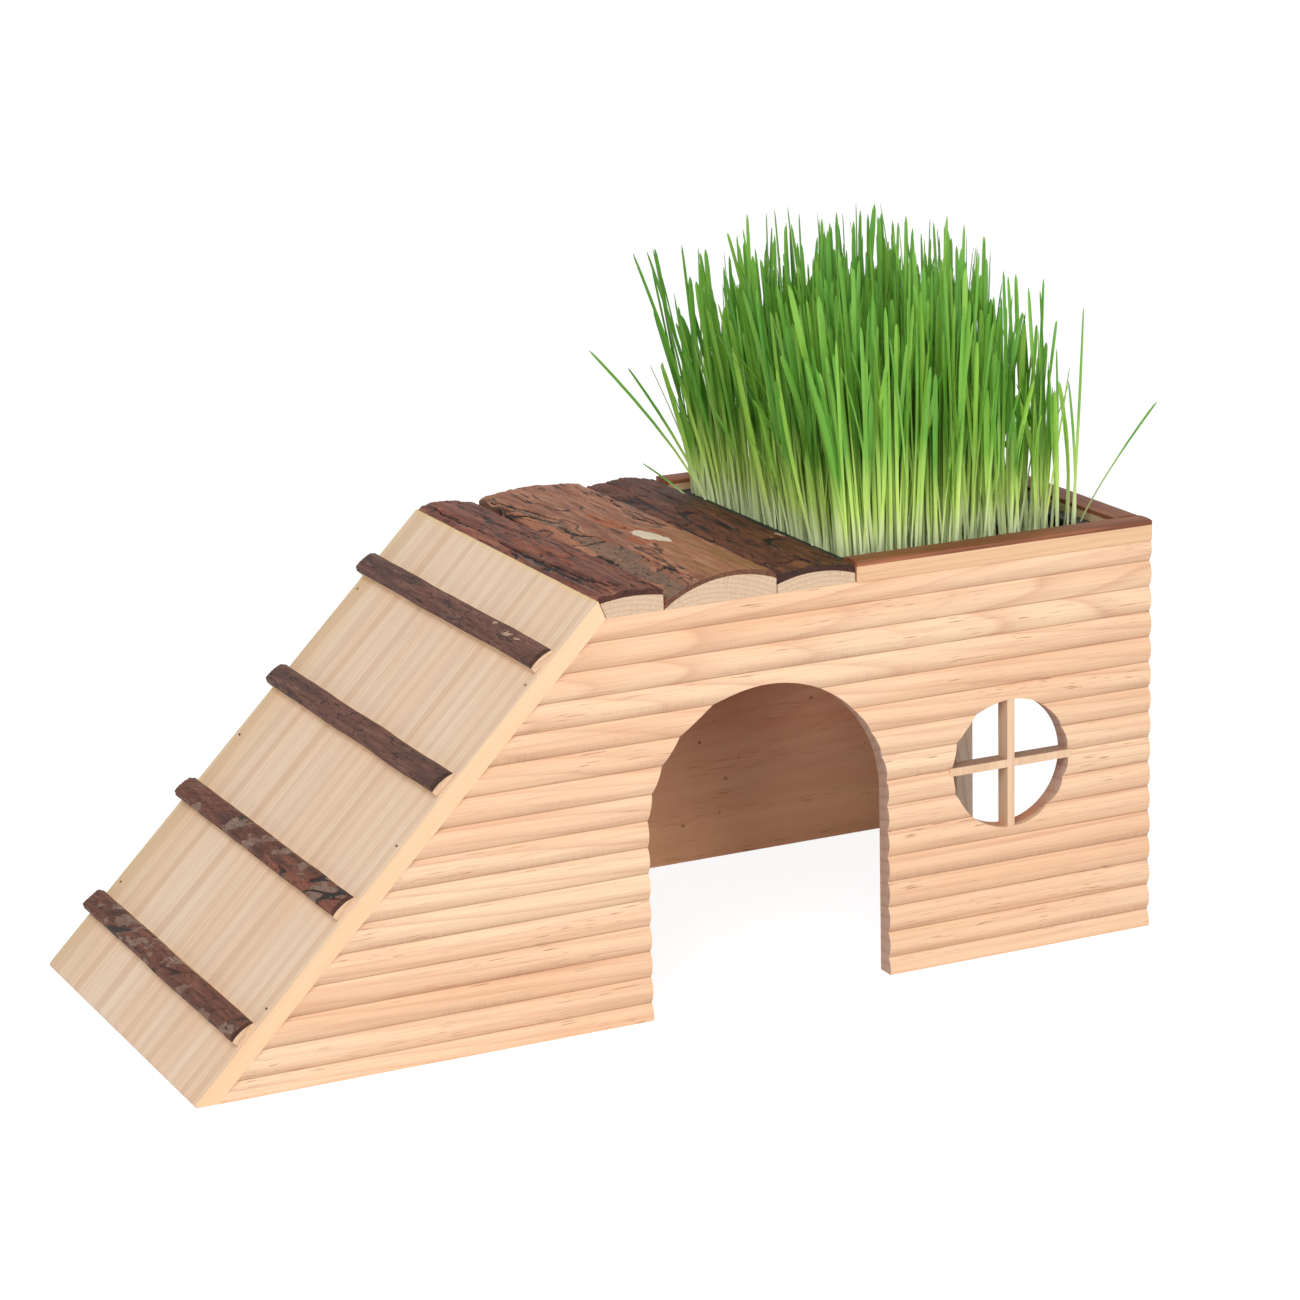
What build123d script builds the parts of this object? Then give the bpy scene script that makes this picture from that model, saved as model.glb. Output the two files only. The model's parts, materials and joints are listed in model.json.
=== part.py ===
from build123d import *
import math
import os

# A small wooden house for a hamster. Two reeded pine walls and a plain end wall make a cabin with no floor.
# A ramp of one plank climbs to a roof of split-log slabs, and a planter tray drops in behind the roof.
# Millimetres. X runs along the house from the foot of the ramp, Y from front to back, Z is up.
# The walls are drawn with x = 0 where the ramp's underside meets the floor and y = 0 on the front
# wall's reeds. Every piece is then moved, so that the origin is at the middle of the footprint.

# Walls
wall_length = 446.0      # along the floor
wall_height = 180.0
house_depth = 197.0      # over both reeded faces
board = 9.0              # wall board, from the crest of its reeds to its flat inner face
reed_pitch = 11.6
reed_depth = 2.0         # from crest to valley
lowest_valley = 7.8      # height of the first valley above the floor

# Doorways, both with straight jambs and a round head
door_left = 197.0        # from the wall's foot to the doorway
door_width = 115.5
door_spring = 83.5       # height of the jambs
end_door_width = 120.0

# Round window and its bars
window_diameter = 58.5
window_from_end = 72.0   # window centre to the wall's end
window_centre_height = 88.0
bar_width = 3.6
bar_depth = 8.0
bar_setback = 0.4        # front of the bars behind the crest of the reeds
bar_bite = 1.5           # how far each end is let into the board

# Ramp
ramp_angle = 45.0
ramp_board = 8.0
toe_round = 1.5
rung_count = 4
first_rung = 29.0        # up the slope from the wall's foot to the lowest rung's middle
last_rung = 30.3         # down the slope from the wall's top to the highest rung's middle
rung_width = 11.5
rung_inset = 3.0         # the front ends stop short of the ramp's edge
rung_low = 1.4           # sawn wood at the uphill side
rung_high = 3.4          # sawn wood at the downhill side
rung_crown = 0.9         # how far the split face bows above its chord
rung_bark = 2.1

# Roof: each slab's sawn width, its wood at the left edge, crown and right edge, and its bark there
slab_widths = {"left": 26.2, "middle": 52.6, "right": 37.2}
slab_woods = {"left": (6.4, 7.9, 6.6), "middle": (0.2, 10.3, 6.8), "right": (3.9, 7.0, 4.1)}
slab_barks = {"left": (2.0, 1.6, 2.8), "middle": (2.2, 1.2, 2.0), "right": (2.8, 1.8, 4.4)}
slab_gap = 0.5
slab_setback = 0.8       # ends of the slabs behind the crest of the reeds
furrow_depth = 1.2       # bark between the furrows stands this much higher
furrow_pitch = 5.2

# Rim of the planter
rim_width = 12.0
rim_wood = 6.8
rim_bark = 1.9
rim_crown = 0.5

# Tray, what grows in it, and what it hangs on
tray_play = 1.0          # between the lip and the pieces around it
lip_thickness = 3.8
lip_seat = 0.3           # lip above its ledgers
tray_depth = 34.0        # below the lip
tray_wall = 1.6
tray_taper = 4.0
tray_corner = 9.0
tray_body_play = 1.6     # between the tray's side and the ledgers
soil_below_lip = 11.0
soil_play = 0.3
ledger_width = 10.0
ledger_height = 12.0
rail_height = 14.0
rail_under_slab = 10.0
rail_under_lip = 5.0

# Grass: clumps in rows that lean outwards
clump_rows = 6
clumps_per_row = 8
clump_width = 13.0
clump_height = 152.0     # at the roof side
clump_fall = 30.0        # how much shorter the clumps at the far end are
clump_edge = 4.0         # from the tray's side to the outer clumps, clear of its rounded corners
clump_spread_x = 30.5    # outward travel of the outermost tips
clump_spread_y = 17.0

# Brads of flat wire, their heads longer than they are wide
brad_width = 1.2
brad_thickness = 1.0
brad_head_width = 2.0
brad_head = 0.7
brad_play = 0.1
brad_bite = 8.0          # into the piece below
brads_per_ramp_edge = 3
brad_from_rung_end = 8.0
hole_above_head = 5.0

# Values that follow from the sizes above
slope = math.radians(ramp_angle)
ramp_run = wall_height / math.tan(slope)
ramp_reach = ramp_board / math.sin(slope)           # toe of the ramp in front of the wall's foot
ramp_length = wall_height / math.sin(slope)
rung_pitch = (ramp_length - first_rung - last_rung) / max(rung_count - 1, 1)
toe_x = toe_round / math.tan(slope / 2) - toe_round - ramp_reach
mitre = slope / 2
roof_start = ramp_run + slab_gap
roof_end = roof_start + sum(slab_widths.values()) + slab_gap * (len(slab_widths) - 1)
inner_front = board
inner_back = house_depth - board
end_inner = wall_length - board
rim_start = roof_end + slab_gap
rim_height = rim_wood + rim_bark
middle_x = (wall_length + toe_x) / 2
window_x = wall_length - window_from_end
lip_base = wall_height + lip_seat
lip_top = lip_base + lip_thickness
soil_top = lip_top - soil_below_lip

nodes = {}


def box(x0, x1, y0, y1, z0, z1):
    """A block between two opposite corners."""
    return Pos((x0 + x1) / 2, (y0 + y1) / 2, (z0 + z1) / 2) * Box(x1 - x0, y1 - y0, z1 - z0)


def prism_along_y(outline, y0, y1):
    """An outline drawn in X and Z, carried from y0 to y1."""
    face = Plane(origin=(0, y0, 0), x_dir=(1, 0, 0), z_dir=(0, -1, 0)) * outline
    return extrude(face, amount=-(y1 - y0))


def prism_along_x(outline, x0, x1):
    """An outline drawn in Y and Z, carried from x0 to x1."""
    return extrude(Plane(origin=(x0, 0, 0), x_dir=(0, 1, 0), z_dir=(1, 0, 0)) * outline, amount=x1 - x0)


def closed(*edges):
    """The flat face inside a ring of lines and arcs."""
    return make_face(Curve() + list(edges))


def arch(width, spring, below=5.0):
    """A doorway outline centred on 0, from below the floor to its round head."""
    straight = Pos(0, (spring - below) / 2) * Rectangle(width, spring + below)
    return straight + Pos(0, spring) * Circle(width / 2)


# Walls

def reeded_outline():
    """The board's section in Y and Z: flat inside, round reeds with sharp valleys outside."""
    radius = (reed_pitch ** 2 / 4 + reed_depth ** 2) / (2 * reed_depth)
    centres = [lowest_valley - reed_pitch / 2]
    while centres[-1] + reed_pitch / 2 < wall_height:
        centres.append(centres[-1] + reed_pitch)
    core = Pos((board + reed_depth) / 2, wall_height / 2) * Rectangle(board - reed_depth, wall_height)
    skin = Pos(reed_depth / 2, wall_height / 2) * Rectangle(reed_depth, wall_height)
    reeds = Sketch() + [Pos(radius, z) * Circle(radius) for z in centres]
    return core + (reeds & skin)


def side_outline():
    """The side wall's outline in X and Z, with its slanted edge under the ramp."""
    corners = [(0, 0), (wall_length, 0), (wall_length, wall_height), (ramp_run, wall_height)]
    return make_face(Polyline(*corners, close=True))


def window_bars():
    """The two bars, half-lapped where they cross, with their ends let into the board."""
    reach = window_diameter / 2 + bar_bite
    half = bar_width / 2
    front, back = bar_setback, bar_setback + bar_depth
    middle = (front + back) / 2
    z = window_centre_height
    upright = box(window_x - half, window_x + half, front, back, z - reach, z + reach)
    cross = box(window_x - reach, window_x + reach, front, back, z - half, z + half)
    rear_lap = box(window_x - half, window_x + half, middle, back, z - half, z + half)
    front_lap = box(window_x - half, window_x + half, front, middle, z - half, z + half)
    return upright - rear_lap, cross - front_lap


side_panel = prism_along_x(reeded_outline(), 0, wall_length)
side_panel = side_panel & prism_along_y(side_outline(), 0, board)
bar_upright, bar_cross = window_bars()
doorway = Pos(door_left + door_width / 2, 0) * arch(door_width, door_spring)
window_hole = Pos(window_x, window_centre_height) * Circle(window_diameter / 2)
front_wall = side_panel - prism_along_y(doorway, -1, board + 1)
front_wall = front_wall - prism_along_y(window_hole, -1, board + 1) - bar_upright - bar_cross
back_wall = mirror(side_panel, Plane(origin=(0, house_depth / 2, 0), z_dir=(0, 1, 0)))

# The end wall is a plain board of the same thickness, between the side walls.
end_panel = box(end_inner, wall_length, inner_front, inner_back, 0, wall_height)
end_doorway = Plane(origin=(end_inner - 1, house_depth / 2, 0), x_dir=(0, 1, 0), z_dir=(1, 0, 0))
end_wall = end_panel - extrude(end_doorway * arch(end_door_width, door_spring), amount=board + 2)

# Ramp: the plank lies on the slanted edges, cut level at its toe and mitred against the roof

plank_corners = [
    (0, 0),
    (ramp_run, wall_height),
    (ramp_run - ramp_board * math.tan(mitre), wall_height + ramp_board),
    (-ramp_reach, 0),
]
ramp = prism_along_y(make_face(Polyline(*plank_corners, close=True)), 0, house_depth)
toe = ramp.edges().filter_by(Axis.Y).sort_by(Axis.X)[0]
ramp = fillet(toe, toe_round)


def on_ramp(distance):
    """A plane on the plank: x uphill, y straight out of it, with its origin on the upper face."""
    along, out = distance, ramp_board
    x = along * math.cos(slope) - out * math.sin(slope)
    z = along * math.sin(slope) + out * math.cos(slope)
    return Plane(origin=(x, 0, z), x_dir=(math.cos(slope), 0, math.sin(slope)), z_dir=(0, -1, 0))


def shifted(plane, y):
    """The same plane moved along Y."""
    return Plane(origin=plane.origin + Vector(0, y, 0), x_dir=plane.x_dir, z_dir=plane.z_dir)


def rung_section(raise_by):
    """The bowed split face of a rung, from its downhill edge to its uphill edge."""
    half = rung_width / 2
    crown = (rung_high + rung_low) / 2 + rung_crown + raise_by
    return (-half, rung_high + raise_by), (0, crown), (half, rung_low + raise_by)


def rung(distance):
    """A split batten with its bark, lying across the plank at a distance up the slope."""
    half = rung_width / 2
    low, crown, high = rung_section(0)
    wood = closed(
        Polyline(low, (-half, 0), (half, 0), high),
        ThreePointArc(low, crown, high),
    )
    low_bark, crown_bark, high_bark = rung_section(rung_bark)
    bark = closed(
        ThreePointArc(low, crown, high),
        Line(high, high_bark),
        ThreePointArc(low_bark, crown_bark, high_bark),
        Line(low_bark, low),
    )
    plane = shifted(on_ramp(distance), rung_inset)
    length = house_depth - rung_inset
    return extrude(plane * wood, amount=-length), extrude(plane * bark, amount=-length)


def brad(plane, depth, head_at, play=0.0, above=0.0):
    """A brad driven along a plane's -Y, its head's top at head_at. With play, the room that it takes."""
    start = Plane(origin=plane.from_local_coords((0, head_at, 0)), x_dir=plane.x_dir, z_dir=-plane.y_dir)
    shank = Rectangle(brad_thickness + 2 * play, brad_width + 2 * play)
    head = Rectangle(brad_thickness + 2 * play, brad_head_width + 2 * play)
    driven = extrude(start * shank, amount=head_at + depth + play)
    return driven + extrude(start.offset(-above) * head, amount=above + brad_head + play)


def brad_hole(plane, depth, head_at):
    """The hole that a brad leaves, open above its head."""
    return brad(plane, depth, head_at, play=brad_play, above=hole_above_head)


edge_middle = board / 2
brad_lines = (edge_middle, house_depth - edge_middle)

ramp_brads, ramp_holes = [], []
for index in range(brads_per_ramp_edge):
    place = on_ramp(ramp_length * (index + 0.5) / brads_per_ramp_edge)
    for y in brad_lines:
        ramp_brads.append(brad(shifted(place, y), ramp_board + brad_bite, 0))
        ramp_holes.append(brad_hole(shifted(place, y), ramp_board + brad_bite, 0))

rung_brads, rung_holes, rungs = [], [], []
rung_brad_head = rung_section(rung_bark)[1][1]
rung_brad_depth = ramp_board - 2
for index in range(rung_count):
    place = on_ramp(first_rung + index * rung_pitch)
    rungs.append(rung(first_rung + index * rung_pitch))
    for y in (rung_inset + brad_from_rung_end, house_depth - brad_from_rung_end):
        rung_brads.append(brad(shifted(place, y), rung_brad_depth, rung_brad_head))
        rung_holes.append(brad_hole(shifted(place, y), rung_brad_depth, rung_brad_head))

# Roof slabs, from the ramp's mitre to the planter


def between(values, share):
    """A smooth curve through three values, at the start, middle and end of a span."""
    left, crown, right = values
    at_left, at_right = (1 - share) * (1 - 2 * share), share * (2 * share - 1)
    return left * at_left + crown * 4 * share * (1 - share) + right * at_right


def slab(x0, width, woods, barks, lean):
    """A slab's wood and its furrowed bark. lean slants the left side to lie along the mitre."""
    slant = math.tan(lean)
    left, crown, right = (wall_height + height for height in woods)
    start = (x0 - woods[0] * slant, left)
    split = ThreePointArc(start, (x0 + width / 2, crown), (x0 + width, right))
    wood = closed(Polyline(start, (x0, wall_height), (x0 + width, wall_height), (x0 + width, right)), split)
    count = 2 * max(1, round(width / furrow_pitch))
    ridges = []
    for index in range(count + 1):
        foot = split @ (index / count)
        rise = between(barks, index / count) + (furrow_depth if index % 2 == 0 else 0)
        shift = rise * slant if index == 0 else 0
        ridges.append((foot.X - shift, foot.Y + rise))
    skin = closed(split, Polyline((x0 + width, right), *reversed(ridges), start))
    y0, y1 = slab_setback, house_depth - slab_setback
    return prism_along_y(wood, y0, y1), prism_along_y(skin, y0, y1)


slabs, roof_brads, roof_holes = {}, [], []
edge = roof_start
for name, width in slab_widths.items():
    slabs[name] = slab(edge, width, slab_woods[name], slab_barks[name], mitre if name == "left" else 0)
    head_at = slab_woods[name][1] + slab_barks[name][1]
    for y in brad_lines:
        place = Plane(origin=(edge + width / 2, y, wall_height), x_dir=(1, 0, 0), z_dir=(0, -1, 0))
        roof_brads.append(brad(place, brad_bite, head_at))
        roof_holes.append(brad_hole(place, brad_bite, head_at))
    edge += width + slab_gap

# Rim battens, butted at the corners


def batten_faces():
    """Wood and bark of a batten, drawn with its outer side at 0 and its base on the wall tops."""
    base, split = wall_height, wall_height + rim_wood
    top = wall_height + rim_height
    wood = Pos(rim_width / 2, base + rim_wood / 2) * Rectangle(rim_width, rim_wood)
    bark = closed(
        Polyline((0, top), (0, split), (rim_width, split), (rim_width, top)),
        ThreePointArc((rim_width, top), (rim_width / 2, top + rim_crown), (0, top)),
    )
    return wood, bark


turn_to_back = Pos(0, house_depth, 0) * Rot(0, 0, 180)
turn_to_end = Pos(wall_length, 0, 0) * Rot(0, 0, 90)
rims = {}
for name, turn, start, stop in (
    ("front", Pos(0, 0, 0), rim_start, wall_length),
    ("back", turn_to_back, -wall_length, -rim_start),
    ("end", turn_to_end, rim_width, house_depth - rim_width),
):
    rims[name] = [turn * prism_along_x(face, start, stop) for face in batten_faces()]

# What the tray hangs on: a rail across the house and ledgers along the walls

rail_start = roof_end - rail_under_slab
rail_end = roof_end + rail_under_lip
ledger_base = wall_height - ledger_height
rail = box(rail_start, rail_end, inner_front, inner_back, wall_height - rail_height, wall_height)
ledger_front = box(rail_end, end_inner, inner_front, inner_front + ledger_width, ledger_base, wall_height)
ledger_back = box(rail_end, end_inner, inner_back - ledger_width, inner_back, ledger_base, wall_height)
ledger_end = box(
    end_inner - ledger_width, end_inner,
    inner_front + ledger_width, inner_back - ledger_width,
    ledger_base, wall_height,
)

# Tray, soil and grass

lip_x0, lip_x1 = roof_end + tray_play, wall_length - rim_width - tray_play
lip_y0, lip_y1 = rim_width + tray_play, house_depth - rim_width - tray_play
body_x0, body_x1 = rail_end + tray_body_play, end_inner - ledger_width - tray_body_play
body_y0, body_y1 = (
    inner_front + ledger_width + tray_body_play,
    inner_back - ledger_width - tray_body_play,
)
body_x, body_y = (body_x0 + body_x1) / 2, (body_y0 + body_y1) / 2
body_width, body_depth = body_x1 - body_x0, body_y1 - body_y0
taper_share = math.tan(math.radians(tray_taper))


def tapered(inset, top, bottom):
    """The tray's body shrunk by an inset, between two heights, along its sloping sides."""
    shrink = 2 * (inset + (lip_base - top) * taper_share)
    corner = max(tray_corner - inset, 1.0)
    outline = RectangleRounded(body_width - shrink, body_depth - shrink, corner)
    return extrude(Pos(body_x, body_y, top) * outline, amount=-(top - bottom), taper=tray_taper)


tray_bottom = lip_base - tray_depth
lip = Pos((lip_x0 + lip_x1) / 2, (lip_y0 + lip_y1) / 2, lip_base) * RectangleRounded(
    lip_x1 - lip_x0, lip_y1 - lip_y0, 4.0
)
lip = extrude(lip, amount=lip_thickness)
lip = fillet(lip.faces().sort_by(Axis.Z)[-1].edges(), 1.2)
throat = Pos(body_x, body_y, lip_base) * RectangleRounded(
    body_width - 2 * tray_wall, body_depth - 2 * tray_wall, tray_corner - tray_wall
)
tray = lip + tapered(0, lip_base, tray_bottom)
tray = tray - extrude(throat, amount=lip_thickness) - tapered(tray_wall, lip_base, tray_bottom + tray_wall)
soil = tapered(tray_wall + soil_play, soil_top, tray_bottom + tray_wall)


def flat_sided(rings):
    """A solid whose flat sides join one ring of corners to the next."""
    faces = [Face(Wire.make_polygon(ring)) for ring in (rings[0], rings[-1])]
    for lower, upper in zip(rings, rings[1:]):
        for corner in range(len(lower)):
            after = (corner + 1) % len(lower)
            side = lower[corner], lower[after], upper[after], upper[corner]
            faces.append(Face(Wire.make_polygon(side)))
    return Solid(Shell(faces))


def clump(x, y, height):
    """A clump of blades: three rings of eight corners that bow outwards and are drawn to a tip."""
    rings = []
    turns = [math.radians(22.5 + 45 * corner) for corner in range(8)]
    for rise, share in ((0.0, 1.0), (0.55, 0.9), (1.0, 0.16)):
        shift_x = clump_spread_x * (x - body_x) / clump_reach_x * rise ** 2
        shift_y = clump_spread_y * (y - body_y) / clump_reach_y * rise ** 2
        radius, z = clump_width * share / 2, soil_top + rise * height
        rings.append([
            (x + shift_x + radius * math.cos(turn), y + shift_y + radius * math.sin(turn), z)
            for turn in turns
        ])
    return flat_sided(rings)


def spread(middle, reach, count, index):
    """One of count equally spaced places that lie within a reach of the middle."""
    return middle + reach * (2 * index / max(count - 1, 1) - 1)


clumps = []
clump_inset = tray_wall + (lip_base - soil_top) * taper_share + clump_edge + clump_width / 2
clump_reach_x = body_width / 2 - clump_inset
clump_reach_y = body_depth / 2 - clump_inset
for row in range(clump_rows):
    for place in range(clumps_per_row):
        x = spread(body_x, clump_reach_x, clump_rows, row)
        y = spread(body_y, clump_reach_y, clumps_per_row, place)
        fall = clump_fall * row / max(clump_rows - 1, 1)
        uneven = 9.0 * math.sin(5.1 * row + 2.3 * place)
        clumps.append(clump(x, y, clump_height - fall + uneven))

# Nodes: every piece by its name, drilled for the brads that pass through it

front_wall = front_wall - ramp_holes - roof_holes
back_wall = back_wall - ramp_holes - roof_holes
ramp = ramp - ramp_holes - rung_holes

nodes["front_wall"] = front_wall
nodes["back_wall"] = back_wall
nodes["end_wall"] = end_wall
nodes["window_bar_upright"] = bar_upright
nodes["window_bar_cross"] = bar_cross
nodes["ramp_board"] = ramp
for index, (wood, bark) in enumerate(rungs):
    nodes[f"rung_{index + 1}"] = wood - rung_holes
    nodes[f"rung_bark_{index + 1}"] = bark - rung_holes
for name, (wood, bark) in slabs.items():
    nodes[f"roof_slab_{name}"] = wood - roof_holes
    nodes[f"roof_bark_{name}"] = bark - roof_holes
for name, (wood, bark) in rims.items():
    nodes[f"rim_{name}"] = wood
    nodes[f"rim_bark_{name}"] = bark
nodes["cross_rail"] = rail
nodes["ledger_front"] = ledger_front
nodes["ledger_back"] = ledger_back
nodes["ledger_end"] = ledger_end
nodes["ramp_brads"] = Compound(children=[solid for piece in ramp_brads for solid in piece.solids()])
nodes["rung_brads"] = Compound(children=[solid for piece in rung_brads for solid in piece.solids()])
nodes["roof_brads"] = Compound(children=[solid for piece in roof_brads for solid in piece.solids()])
nodes["tray"] = tray
nodes["soil"] = soil
nodes["grass"] = Compound(children=[solid for piece in clumps for solid in piece.solids()])

os.makedirs("parts", exist_ok=True)
for name, shape in nodes.items():
    export_step(Pos(-middle_x, -house_depth / 2, 0) * shape, f"parts/{name}.step")
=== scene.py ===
# %% [markdown]
# # A wooden house for a hamster
#
# The house is a small carpentry job: two reeded pine walls and a plain end wall, a plank ramp with rungs of
# split branch, a roof of three split-log slabs with their bark on, and a planter tray of young wheatgrass.
# The solid model fixes every size. This script gives each piece the surface that the real one has.
#
# Each step is a pair of cells. The first says what the piece is, how it could be made and why this way was
# chosen. The second makes it and prints what it made.

# %% Load the solid model
import json
import math

import bpy
import numpy as np
from mathutils import Matrix, Vector

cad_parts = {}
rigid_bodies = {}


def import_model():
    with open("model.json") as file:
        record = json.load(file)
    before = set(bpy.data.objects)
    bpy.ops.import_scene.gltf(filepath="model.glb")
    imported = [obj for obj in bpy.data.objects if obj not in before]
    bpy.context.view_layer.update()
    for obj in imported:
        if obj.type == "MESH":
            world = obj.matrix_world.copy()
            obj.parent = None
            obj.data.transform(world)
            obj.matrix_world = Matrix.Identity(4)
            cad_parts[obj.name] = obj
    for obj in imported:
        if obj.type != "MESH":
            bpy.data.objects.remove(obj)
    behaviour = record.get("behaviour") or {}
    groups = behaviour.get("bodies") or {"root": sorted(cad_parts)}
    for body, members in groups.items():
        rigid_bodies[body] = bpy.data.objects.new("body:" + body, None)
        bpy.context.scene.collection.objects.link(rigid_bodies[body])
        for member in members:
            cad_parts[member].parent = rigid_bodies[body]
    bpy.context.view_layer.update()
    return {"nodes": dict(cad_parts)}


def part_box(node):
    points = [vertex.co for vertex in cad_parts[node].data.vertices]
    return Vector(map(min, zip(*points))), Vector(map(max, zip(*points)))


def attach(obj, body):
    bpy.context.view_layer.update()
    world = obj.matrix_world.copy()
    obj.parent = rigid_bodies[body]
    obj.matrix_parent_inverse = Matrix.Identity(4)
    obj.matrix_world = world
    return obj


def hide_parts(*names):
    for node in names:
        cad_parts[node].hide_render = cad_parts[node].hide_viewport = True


for leftover in list(bpy.data.objects):
    bpy.data.objects.remove(leftover)
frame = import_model()

# %% [markdown]
# ## Sizes to work from
#
# The pieces that get a finer surface are drawn again in place, so they need the same measurements as the solids.
# The boxes of the nodes give most of them. The few that a box can't tell, such as the pitch of the reeds, are
# written here in metres.

# %% Measure the solids
MM = 0.001
EAST, NORTH, SKY = (1, 0, 0), (0, 1, 0), (0, 0, 1)      # along the wall, from front to back, and up
wall_low, wall_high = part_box("front_wall")
FOOT, END = wall_low.x, wall_high.x            # the front wall's two ends on the floor
FRONT, BACK = wall_low.y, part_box("back_wall")[1].y
WALL_TOP = wall_high.z
BOARD = wall_high.y - wall_low.y
REED_PITCH, REED_DEPTH, LOWEST_VALLEY = 11.6 * MM, 2.0 * MM, 7.8 * MM
PLANK = 8.0 * MM                               # the ramp's thickness
SLOPE = math.radians(45)
print(f"walls {END - FOOT:.3f} long, {BACK - FRONT:.3f} deep, {WALL_TOP:.3f} high")

# %% [markdown]
# ## Shader maths that reads like maths
#
# A finish is a tree of nodes. Wiring them by hand hides the idea, so one small class wraps a socket and answers
# to Python's own operators: each plus or times adds a Math node. Every other node comes from one method, which
# sets the node's settings first and then fills or links its sockets.

# %% The class that wraps a socket, and the one that holds a finish


class Field:
    """A value that changes over a surface: a node's output that Python's operators can work on."""

    def __init__(self, finish, socket):
        self.finish, self.socket = finish, socket

    def _math(self, operation, *values):
        return self.finish.add("ShaderNodeMath", dict(enumerate(values)), operation=operation)

    def __add__(self, other):
        return self._math("ADD", self, other)

    def __sub__(self, other):
        return self._math("SUBTRACT", self, other)

    def __mul__(self, other):
        return self._math("MULTIPLY", self, other)

    def __truediv__(self, other):
        return self._math("DIVIDE", self, other)

    def __pow__(self, other):
        return self._math("POWER", self, other)

    __rmul__ = __mul__

    def absolute(self):
        return self._math("ABSOLUTE", self)

    def floor(self):
        return self._math("FLOOR", self)

    def fraction(self):
        return self._math("FRACT", self)

    def between(self, low, high):
        """0 at low, 1 at high, straight between them and clamped outside. low may be the larger."""
        return self.finish.add("ShaderNodeMapRange", {0: self, 1: low, 2: high, 3: 0.0, 4: 1.0}, clamp=True)

    def curve(self, *stops):
        """Grey levels at positions from 0 to 1, joined by straight lines."""
        return self.finish.add(
            "ShaderNodeValToRGB", {0: self}, stops=[(at, (level, level, level, 1)) for at, level in stops]
        )

    def along(self, direction):
        """How far a point lies along a direction."""
        values = {0: self, 1: tuple(direction)}
        return self.finish.add("ShaderNodeVectorMath", values, out=1, operation="DOT_PRODUCT")


class Finish:
    """A material under construction, with the surface shader in place."""

    def __init__(self, name, **constants):
        self.material = bpy.data.materials.new(name)
        self.material.use_nodes = True
        self.tree = self.material.node_tree
        self.tree.nodes.clear()
        self.surface = self.tree.nodes.new("ShaderNodeBsdfPrincipled")
        output = self.tree.nodes.new("ShaderNodeOutputMaterial")
        self.tree.links.new(self.surface.outputs[0], output.inputs[0])
        for socket, value in constants.items():
            self.surface.inputs[socket.replace("_", " ")].default_value = value

    @classmethod
    def over(cls, tree):
        """A finish without a surface shader, on the emptied node tree of a world."""
        finish = cls.__new__(cls)
        finish.tree = tree
        tree.nodes.clear()
        return finish

    def add(self, kind, sockets, out=0, stops=None, **settings):
        """Any node: its settings first, then the values or links of its sockets. Returns one output."""
        node = self.tree.nodes.new(kind)
        for setting, value in settings.items():
            setattr(node, setting, value)
        if stops:
            elements = node.color_ramp.elements
            while len(elements) < len(stops):
                elements.new(0.5)
            for element, (position, colour) in zip(elements, stops):
                element.position, element.color = position, colour
        for key, value in sockets.items():
            if isinstance(value, Field):
                self.tree.links.new(value.socket, node.inputs[key])
            else:
                node.inputs[key].default_value = value
        return Field(self, node.outputs[out]) if len(node.outputs) else node

    def place(self):
        return self.add("ShaderNodeTexCoord", {}, out=3)

    def end_on(self, grain):
        """1 where the surface is cut square across the grain, 0 where it runs along it."""
        return self.add("ShaderNodeTexCoord", {}, out=1).along(Vector(grain).normalized()).absolute()

    def vector(self, x, y, z):
        return self.add("ShaderNodeCombineXYZ", {0: x, 1: y, 2: z})

    def noise(self, place, scale=1.0, detail=2.0, roughness=0.5, distortion=0.0):
        values = {"Vector": place, "Scale": scale, "Detail": detail, "Roughness": roughness}
        return self.add("ShaderNodeTexNoise", {**values, "Distortion": distortion})

    def attribute(self, name):
        return self.add("ShaderNodeAttribute", {}, out=2, attribute_name=name)

    def mix(self, factor, first, second):
        """first where factor is 0, second where it is 1. Either may be a colour's code."""
        first, second = (rgb(tone) if isinstance(tone, str) else tone for tone in (first, second))
        return self.add("ShaderNodeMix", {0: factor, 6: first, 7: second}, out=2, data_type="RGBA")

    def layered(self, colour, *layers):
        """A colour with others laid over it in turn. Each layer is (how much of it shows, its colour)."""
        for factor, tone in layers:
            colour = self.mix(factor, colour, tone)
        return colour

    def grained(self, grain, across=None):
        """Places along the grain, across it and in depth, and a function for noise that follows the grain."""
        grain = Vector(grain).normalized()
        across = Vector(across).normalized() if across else grain.orthogonal().normalized()
        place = self.place()
        axes = [place.along(direction) for direction in (grain, across, grain.cross(across))]

        def noise(along, aside, **settings):
            """Noise with that many lumps to the metre along the grain, and that many across it."""
            stretched = (axis * lumps for axis, lumps in zip(axes, (along, aside, aside)))
            return self.noise(self.vector(*stretched), **settings)

        return axes, noise

    def show(self, colour, roughness, height, depth):
        """Feeds the surface shader. height, from 0 to 1, becomes bumps of that depth. roughness may be None."""
        bump = self.add("ShaderNodeBump", {"Height": height, "Distance": depth, "Strength": 1.0})
        for socket, value in (("Base Color", colour), ("Roughness", roughness), ("Normal", bump)):
            if value is not None:
                self.tree.links.new(value.socket, self.surface.inputs[socket])
        return self.material


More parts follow.
